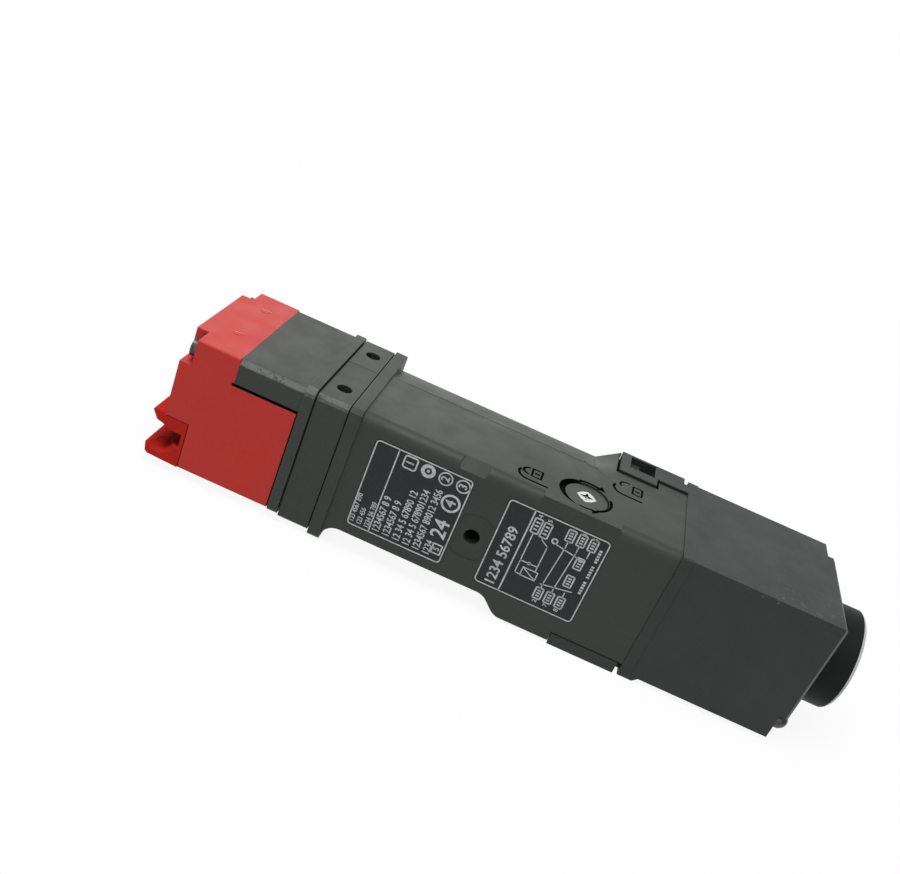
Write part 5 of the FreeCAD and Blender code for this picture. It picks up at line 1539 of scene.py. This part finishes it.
@dataclass
class HeadDetails:
    """The joints of the red head, and its raised marks.

    Attributes:
        end: how far the guide's joint runs towards the end.
        guide: where the key guide ends along the length.
        guide_top: the key guide's top.
        hood: where the hood begins along the length.
        hood_floor: the hood's lower edge.
        collar: where the head's collar begins.
        low: the lowest level of the joints.
        seam: the width of the guide's joint.
        seam_depth: its depth.
        gap: the width of the hood's joint.
        collar_gap: the width of the collar's joint.
        gap_depth: the depth of those two.
        marks_at: the middle of the raised marks along the length.
        marks_across: each mark's place across.
        rise: how far the marks stand out.
    """

    end: float = -98.4
    guide: float = -91.85
    guide_top: float = 16.7
    hood: float = -82.85
    hood_floor: float = 34.6
    collar: float = -63.85
    low: float = 2.2
    seam: float = 0.26
    seam_depth: float = 0.5
    gap: float = 0.9
    collar_gap: float = 0.5
    gap_depth: float = 1.0
    marks_at: float = -89.4
    marks_across: Tuple[float, ...] = (11.4, -8.9)
    rise: float = 0.12

    def engrave(self, head: Engraving, finishes: Finishes) -> None:
        """Cut the joints into the head's near side.

        Args:
            head: the head's copy.
            finishes: the switch's finishes.
        """
        place = face_frame(Side.NEAR, 0, 0, NEAR_FACE)
        top, side = self.guide_top + 0.12, -self.guide - 0.12
        seam = InkDrawing()
        seam.line([(top, -self.end), (top, side), (self.low, side)], self.seam)
        # The seam's walls take the dark red, painted shade.
        head.groove(seam, place, self.seam_depth, finishes.get("deep_red"))
        floor, collar = self.hood_floor - self.gap / 2, 0.2 - self.collar
        gap = InkDrawing()
        gap.bar((floor, 0.1 - self.hood), (floor, -self.collar), self.gap)
        gap.bar((self.low, collar), (self.hood_floor, collar), self.collar_gap)
        # The hood's and the collar's joints take the near black, painted shade.
        head.groove(gap, place, self.gap_depth, finishes.get("shade"))

    def marks(self, finishes: Finishes, front: float) -> None:
        """Make the two raised marks on the head's front, whose paler red is a painted highlight.

        Args:
            finishes: the switch's finishes.
            front: the front's level, in metres.
        """
        drawing = InkDrawing(self.rise)
        for across in self.marks_across:
            drawing.bar((-1.5, across), (1.2, across + 0.7), 0.42)
            drawing.bar((-0.9, across - 0.8), (0.6, across - 0.5), 0.36)
        drawing.piece("head_marks", face_frame(Side.FRONT, self.marks_at * MM, 0, front),
                      finishes.get("lit_red"))


@dataclass
class SelectorTop:
    """The turned-down rim of the selector, and the star sunk in its bright insert.

    Attributes:
        radius: the selector's radius inside the rim.
        rim: how far out the cut runs from there.
        depth: how far the rim is turned down.
        lozenge: the raised lozenge's length and width.
        bulge: where its sides' middles lie, as a share of its points.
        height: how far the lozenge stands out.
        root: how deep it reaches into the insert.
        reach: the star's outer radius.
        waist: the star's inner radius.
        star_depth: the star's depth.
    """

    radius: float = 6.2
    rim: float = 2.0
    depth: float = 1.1
    lozenge: Point = (5.6, 5.9)
    bulge: float = 0.6
    height: float = 0.06
    root: float = 0.3
    reach: float = 2.1
    waist: float = 0.85
    star_depth: float = 0.4

    def engrave(self, selector: Engraving, insert: Engraving, finishes: Finishes,
                places: Tuple[Matrix, Matrix]) -> None:
        """Cut the rim and the star.

        Args:
            selector: the selector's copy.
            insert: the insert's copy.
            finishes: the switch's finishes.
            places: the matrices of the selector's and the insert's tops.
        """
        # The rim's cut and the star take the near black, painted shade.
        dark = finishes.get("shade")
        rim, lozenge, star = (InkDrawing() for _ in range(3))
        rim.ring((0, 0), self.radius + self.rim, self.radius)
        selector.groove(rim, places[0], self.depth, dark)
        x, y = (size / 2 for size in self.lozenge)
        u, v = x * self.bulge, y * self.bulge
        lozenge.outline([(x, 0), (u, v), (0, y), (-u, v), (-x, 0), (-u, -v), (0, -y), (u, -v)])
        insert.raised(lozenge, places[1], self.root, self.height)
        star.outline([polar(self.waist if i % 2 else self.reach, 45 * i) for i in range(8)])
        insert.groove(star, places[1], self.star_depth, dark)


@dataclass
class ScrewCrowns:
    """The domed crowns of the cover's two screws, which stand out of their corners.

    Attributes:
        radius: a crown's radius.
        height: how far it stands out of the screw's head.
        inset: how far its middle lies in from the two screws' common box.
        sunk: how far its middle lies under the head's top.
        segments: how many sides it has.
    """

    radius: float = 2.45
    height: float = 2.3
    inset: float = 2.6
    sunk: float = 0.2
    segments: int = 40

    def build(self, finishes: Finishes) -> None:
        """Make a crown on each screw.

        Args:
            finishes: the switch's finishes.
        """
        low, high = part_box("cover_screws")
        inset = self.inset * MM
        for name, across, up in (("near", low.y + inset, low.z + inset),
                                 ("far", high.y - inset, high.z - inset)):
            shape = bmesh.new()
            bmesh.ops.create_uvsphere(shape, u_segments=self.segments,
                                      v_segments=self.segments // 2, radius=self.radius * MM)
            mesh = bpy.data.meshes.new(f"{name}_screw_crown")
            shape.to_mesh(mesh)
            shape.free()
            mesh.transform(Matrix.Translation((high.x - self.sunk * MM, across, up))
                           @ Matrix.Diagonal((self.height / self.radius, 1, 1, 1)))
            mesh.shade_smooth()
            # The crown takes the darkened steel, painted shade.
            mesh.materials.append(finishes.get("shaded_steel"))
            crown = bpy.data.objects.new(f"{name}_screw_crown", mesh)
            bpy.context.scene.collection.objects.link(crown)
            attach(crown, "switch_body")


# ---------------------------------------------------------------- studio


@dataclass
class Studio:
    """Pale floor, soft lamps, white world and the camera. Lengths are in metres.

    Attributes:
        sky: how bright the world is as light.
        near_glow: how much of the floor's glow shows under the switch.
        shadow_reach: where the glow begins to rise, and where it is full.
        floor_half: half the floor's side.
        floor_gap: how far the floor lies under the mounting plane.
        floor_tone: the floor's grey.
        floor_glow: the strength of its glow.
        lamps: for a lamp's name, its place, side and watts.
        eye: the camera's place.
        aim: the point that it looks at.
        roll_deg: how far it is turned about its view.
        lens_mm: its focal length.
        sensor_mm: its sensor's width.
        shift: its lens shift.
        clip: the nearest and the farthest distance that it shows.
    """

    sky: float = 0.36
    near_glow: float = 0.86
    shadow_reach: Point = (0.25, 0.9)
    floor_half: float = 9.0
    floor_gap: float = 0.0002
    floor_tone: float = 0.66
    floor_glow: float = 1.06
    lamps: Tuple[Tuple[str, Tuple[float, float, float], float, float], ...] = (
        ("key_lamp", (-0.14, -0.2, 0.82), 0.45, 4.6),
        ("far_lamp", (-0.35, 1.0, 0.5), 0.8, 1.6))
    eye: Tuple[float, float, float] = (-0.01066, -0.2734, 0.17296)
    aim: Tuple[float, float, float] = (-0.0196, -0.00733, 0.03466)
    roll_deg: float = -23.218
    lens_mm: float = 43.24
    sensor_mm: float = 36
    shift: Point = (-0.01383, 0.02169)
    clip: Point = (0.01, 20)

    def white_for_eye(self, tree: bpy.types.NodeTree) -> Socket:
        """Give 1 for rays that show the backdrop: from the camera, in gloss and through glass.

        Args:
            tree: the world's or the floor's node tree.

        Returns:
            The value.
        """
        path = add_node(tree, "ShaderNodeLightPath")
        total = path.outputs["Is Camera Ray"]
        for name in ("Is Glossy Ray", "Is Transmission Ray"):
            total = add_node(tree, "ShaderNodeMath", {0: total, 1: path.outputs[name]},
                             operation="MAXIMUM").outputs[0]
        return total

    def mixed(self, tree: bpy.types.NodeTree, share: Socket, light: bpy.types.Node,
              shown: bpy.types.Node, out: str) -> None:
        """End a tree in a mix of what lights the switch and what the eye is shown.

        Args:
            tree: the world's or the floor's node tree.
            share: how much of the second is taken.
            light: what lights the switch.
            shown: what the eye is shown.
            out: the output node's type.
        """
        mix = add_node(tree, "ShaderNodeMixShader",
                       {0: share, 1: light.outputs[0], 2: shown.outputs[0]})
        add_node(tree, out, {0: mix.outputs[0]})

    def build_world(self) -> None:
        """Make the world: white to the eye, plain and soft as light."""
        world = bpy.data.worlds.new("studio")
        bpy.context.scene.world = world
        world.use_nodes = True
        tree = world.node_tree
        tree.nodes.clear()
        light, white = (add_node(tree, "ShaderNodeBackground",
                                 {"Color": WHITE, "Strength": strength})
                        for strength in (self.sky, 1.0))
        self.mixed(tree, self.white_for_eye(tree), light, white, "ShaderNodeOutputWorld")

    def far_from_switch(self, tree: bpy.types.NodeTree) -> Socket:
        """Give how much the floor glows by itself: less near the switch, where its shadow is.

        Args:
            tree: the floor's node tree.

        Returns:
            The value.
        """
        place = add_node(tree, "ShaderNodeTexCoord").outputs["Object"]
        reach = add_node(tree, "ShaderNodeVectorMath", {0: place}, operation="LENGTH")
        values = (reach.outputs["Value"], *self.shadow_reach, self.near_glow, 1.0)
        return add_node(tree, "ShaderNodeMapRange", dict(enumerate(values)),
                        interpolation_type="SMOOTHSTEP").outputs[0]

    def build_floor(self) -> None:
        """Make the floor just under the mounting plane: white to the eye, with a soft shadow."""
        mesh = bmesh.new()
        bmesh.ops.create_grid(mesh, x_segments=8, y_segments=8, size=self.floor_half)
        data = bpy.data.meshes.new("floor")
        mesh.to_mesh(data)
        mesh.free()
        data.transform(Matrix.Translation((0, 0, -self.floor_gap)))
        floor = bpy.data.objects.new("floor", data)
        bpy.context.scene.collection.objects.link(floor)
        material = bpy.data.materials.new("pale_floor")
        material.use_nodes = True
        tree = material.node_tree
        tree.nodes.clear()
        plain = add_node(tree, "ShaderNodeBsdfDiffuse", {"Color": (*(self.floor_tone,) * 3, 1)})
        glow = add_node(tree, "ShaderNodeEmission",
                        {"Color": WHITE, "Strength": self.floor_glow})
        share = add_node(tree, "ShaderNodeMath",
                         {0: self.white_for_eye(tree), 1: self.far_from_switch(tree)},
                         operation="MULTIPLY")
        self.mixed(tree, share.outputs[0], plain, glow, "ShaderNodeOutputMaterial")
        data.materials.append(material)

    def build_camera(self) -> None:
        """Set the camera: eye, aim, roll and lens."""
        data = bpy.data.cameras.new("camera")
        data.lens, data.sensor_width = self.lens_mm, self.sensor_mm
        data.shift_x, data.shift_y = self.shift
        data.clip_start, data.clip_end = self.clip
        camera = bpy.data.objects.new("camera", data)
        look = (Vector(self.aim) - Vector(self.eye)).normalized()
        roll = Quaternion(look, math.radians(self.roll_deg))
        camera.location = self.eye
        camera.rotation_mode = "QUATERNION"
        camera.rotation_quaternion = roll @ look.to_track_quat("-Z", "Y")
        bpy.context.scene.collection.objects.link(camera)
        bpy.context.scene.camera = camera

    def build(self) -> None:
        """Build the floor, the world, the camera and the lamps, which look at the switch."""
        bpy.context.scene.view_settings.view_transform = "Standard"
        self.build_world()
        self.build_floor()
        self.build_camera()
        for name, place, size, watts in self.lamps:
            light = bpy.data.lights.new(name, "AREA")
            light.size, light.energy = size, watts
            holder = bpy.data.objects.new(name, light)
            holder.location = place
            holder.rotation_mode = "QUATERNION"
            holder.rotation_quaternion = (-Vector(place)).to_track_quat("-Z", "Y")
            bpy.context.scene.collection.objects.link(holder)


def dress_case(nodes: Dict[str, bpy.types.Object], finishes: Finishes) -> None:
    """Engrave the case, the head, the selector and its insert.

    Args:
        nodes: the frame's parts by name.
        finishes: the switch's finishes.
    """
    low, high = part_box("release_selector")
    axis = (low + high) / 2
    pad = high.z + PAD_RISE
    case = Engraving(nodes["case_shell"])
    FrontMarks().engrave(case, finishes, face_frame(Side.FRONT, axis.x, axis.y, pad))
    LatchGap().engrave(case, finishes, pad)
    case.finish()
    FrontRidge().build(finishes, pad)
    ScrewCrowns().build(finishes)
    details = HeadDetails()
    head = Engraving(nodes["head_cover"], slot="red_plastic")
    details.engrave(head, finishes)
    head.finish()
    details.marks(finishes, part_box("head_cover")[1].z)
    selector = Engraving(nodes["release_selector"], "release")
    insert = Engraving(nodes["release_insert"], "release", "steel")
    SelectorTop().engrave(selector, insert, finishes, tuple(
        face_frame(Side.FRONT, axis.x, axis.y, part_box(name)[1].z)
        for name in ("release_selector", "release_insert")))
    selector.finish()
    insert.finish()


def main() -> None:
    """Build the looks in order."""
    logging.basicConfig(level=logging.INFO, format="%(name)s: %(message)s")
    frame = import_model()
    finishes = Finishes()
    dress_frame(frame["nodes"], finishes)
    dress_case(frame["nodes"], finishes)
    RatingLabel(finishes, "rating_label", -41.85, -13.15).build()
    WiringLabel(finishes, "wiring_label", -3.3, 26.45).build()
    Studio().build()


if __name__ == "__main__":
    main()
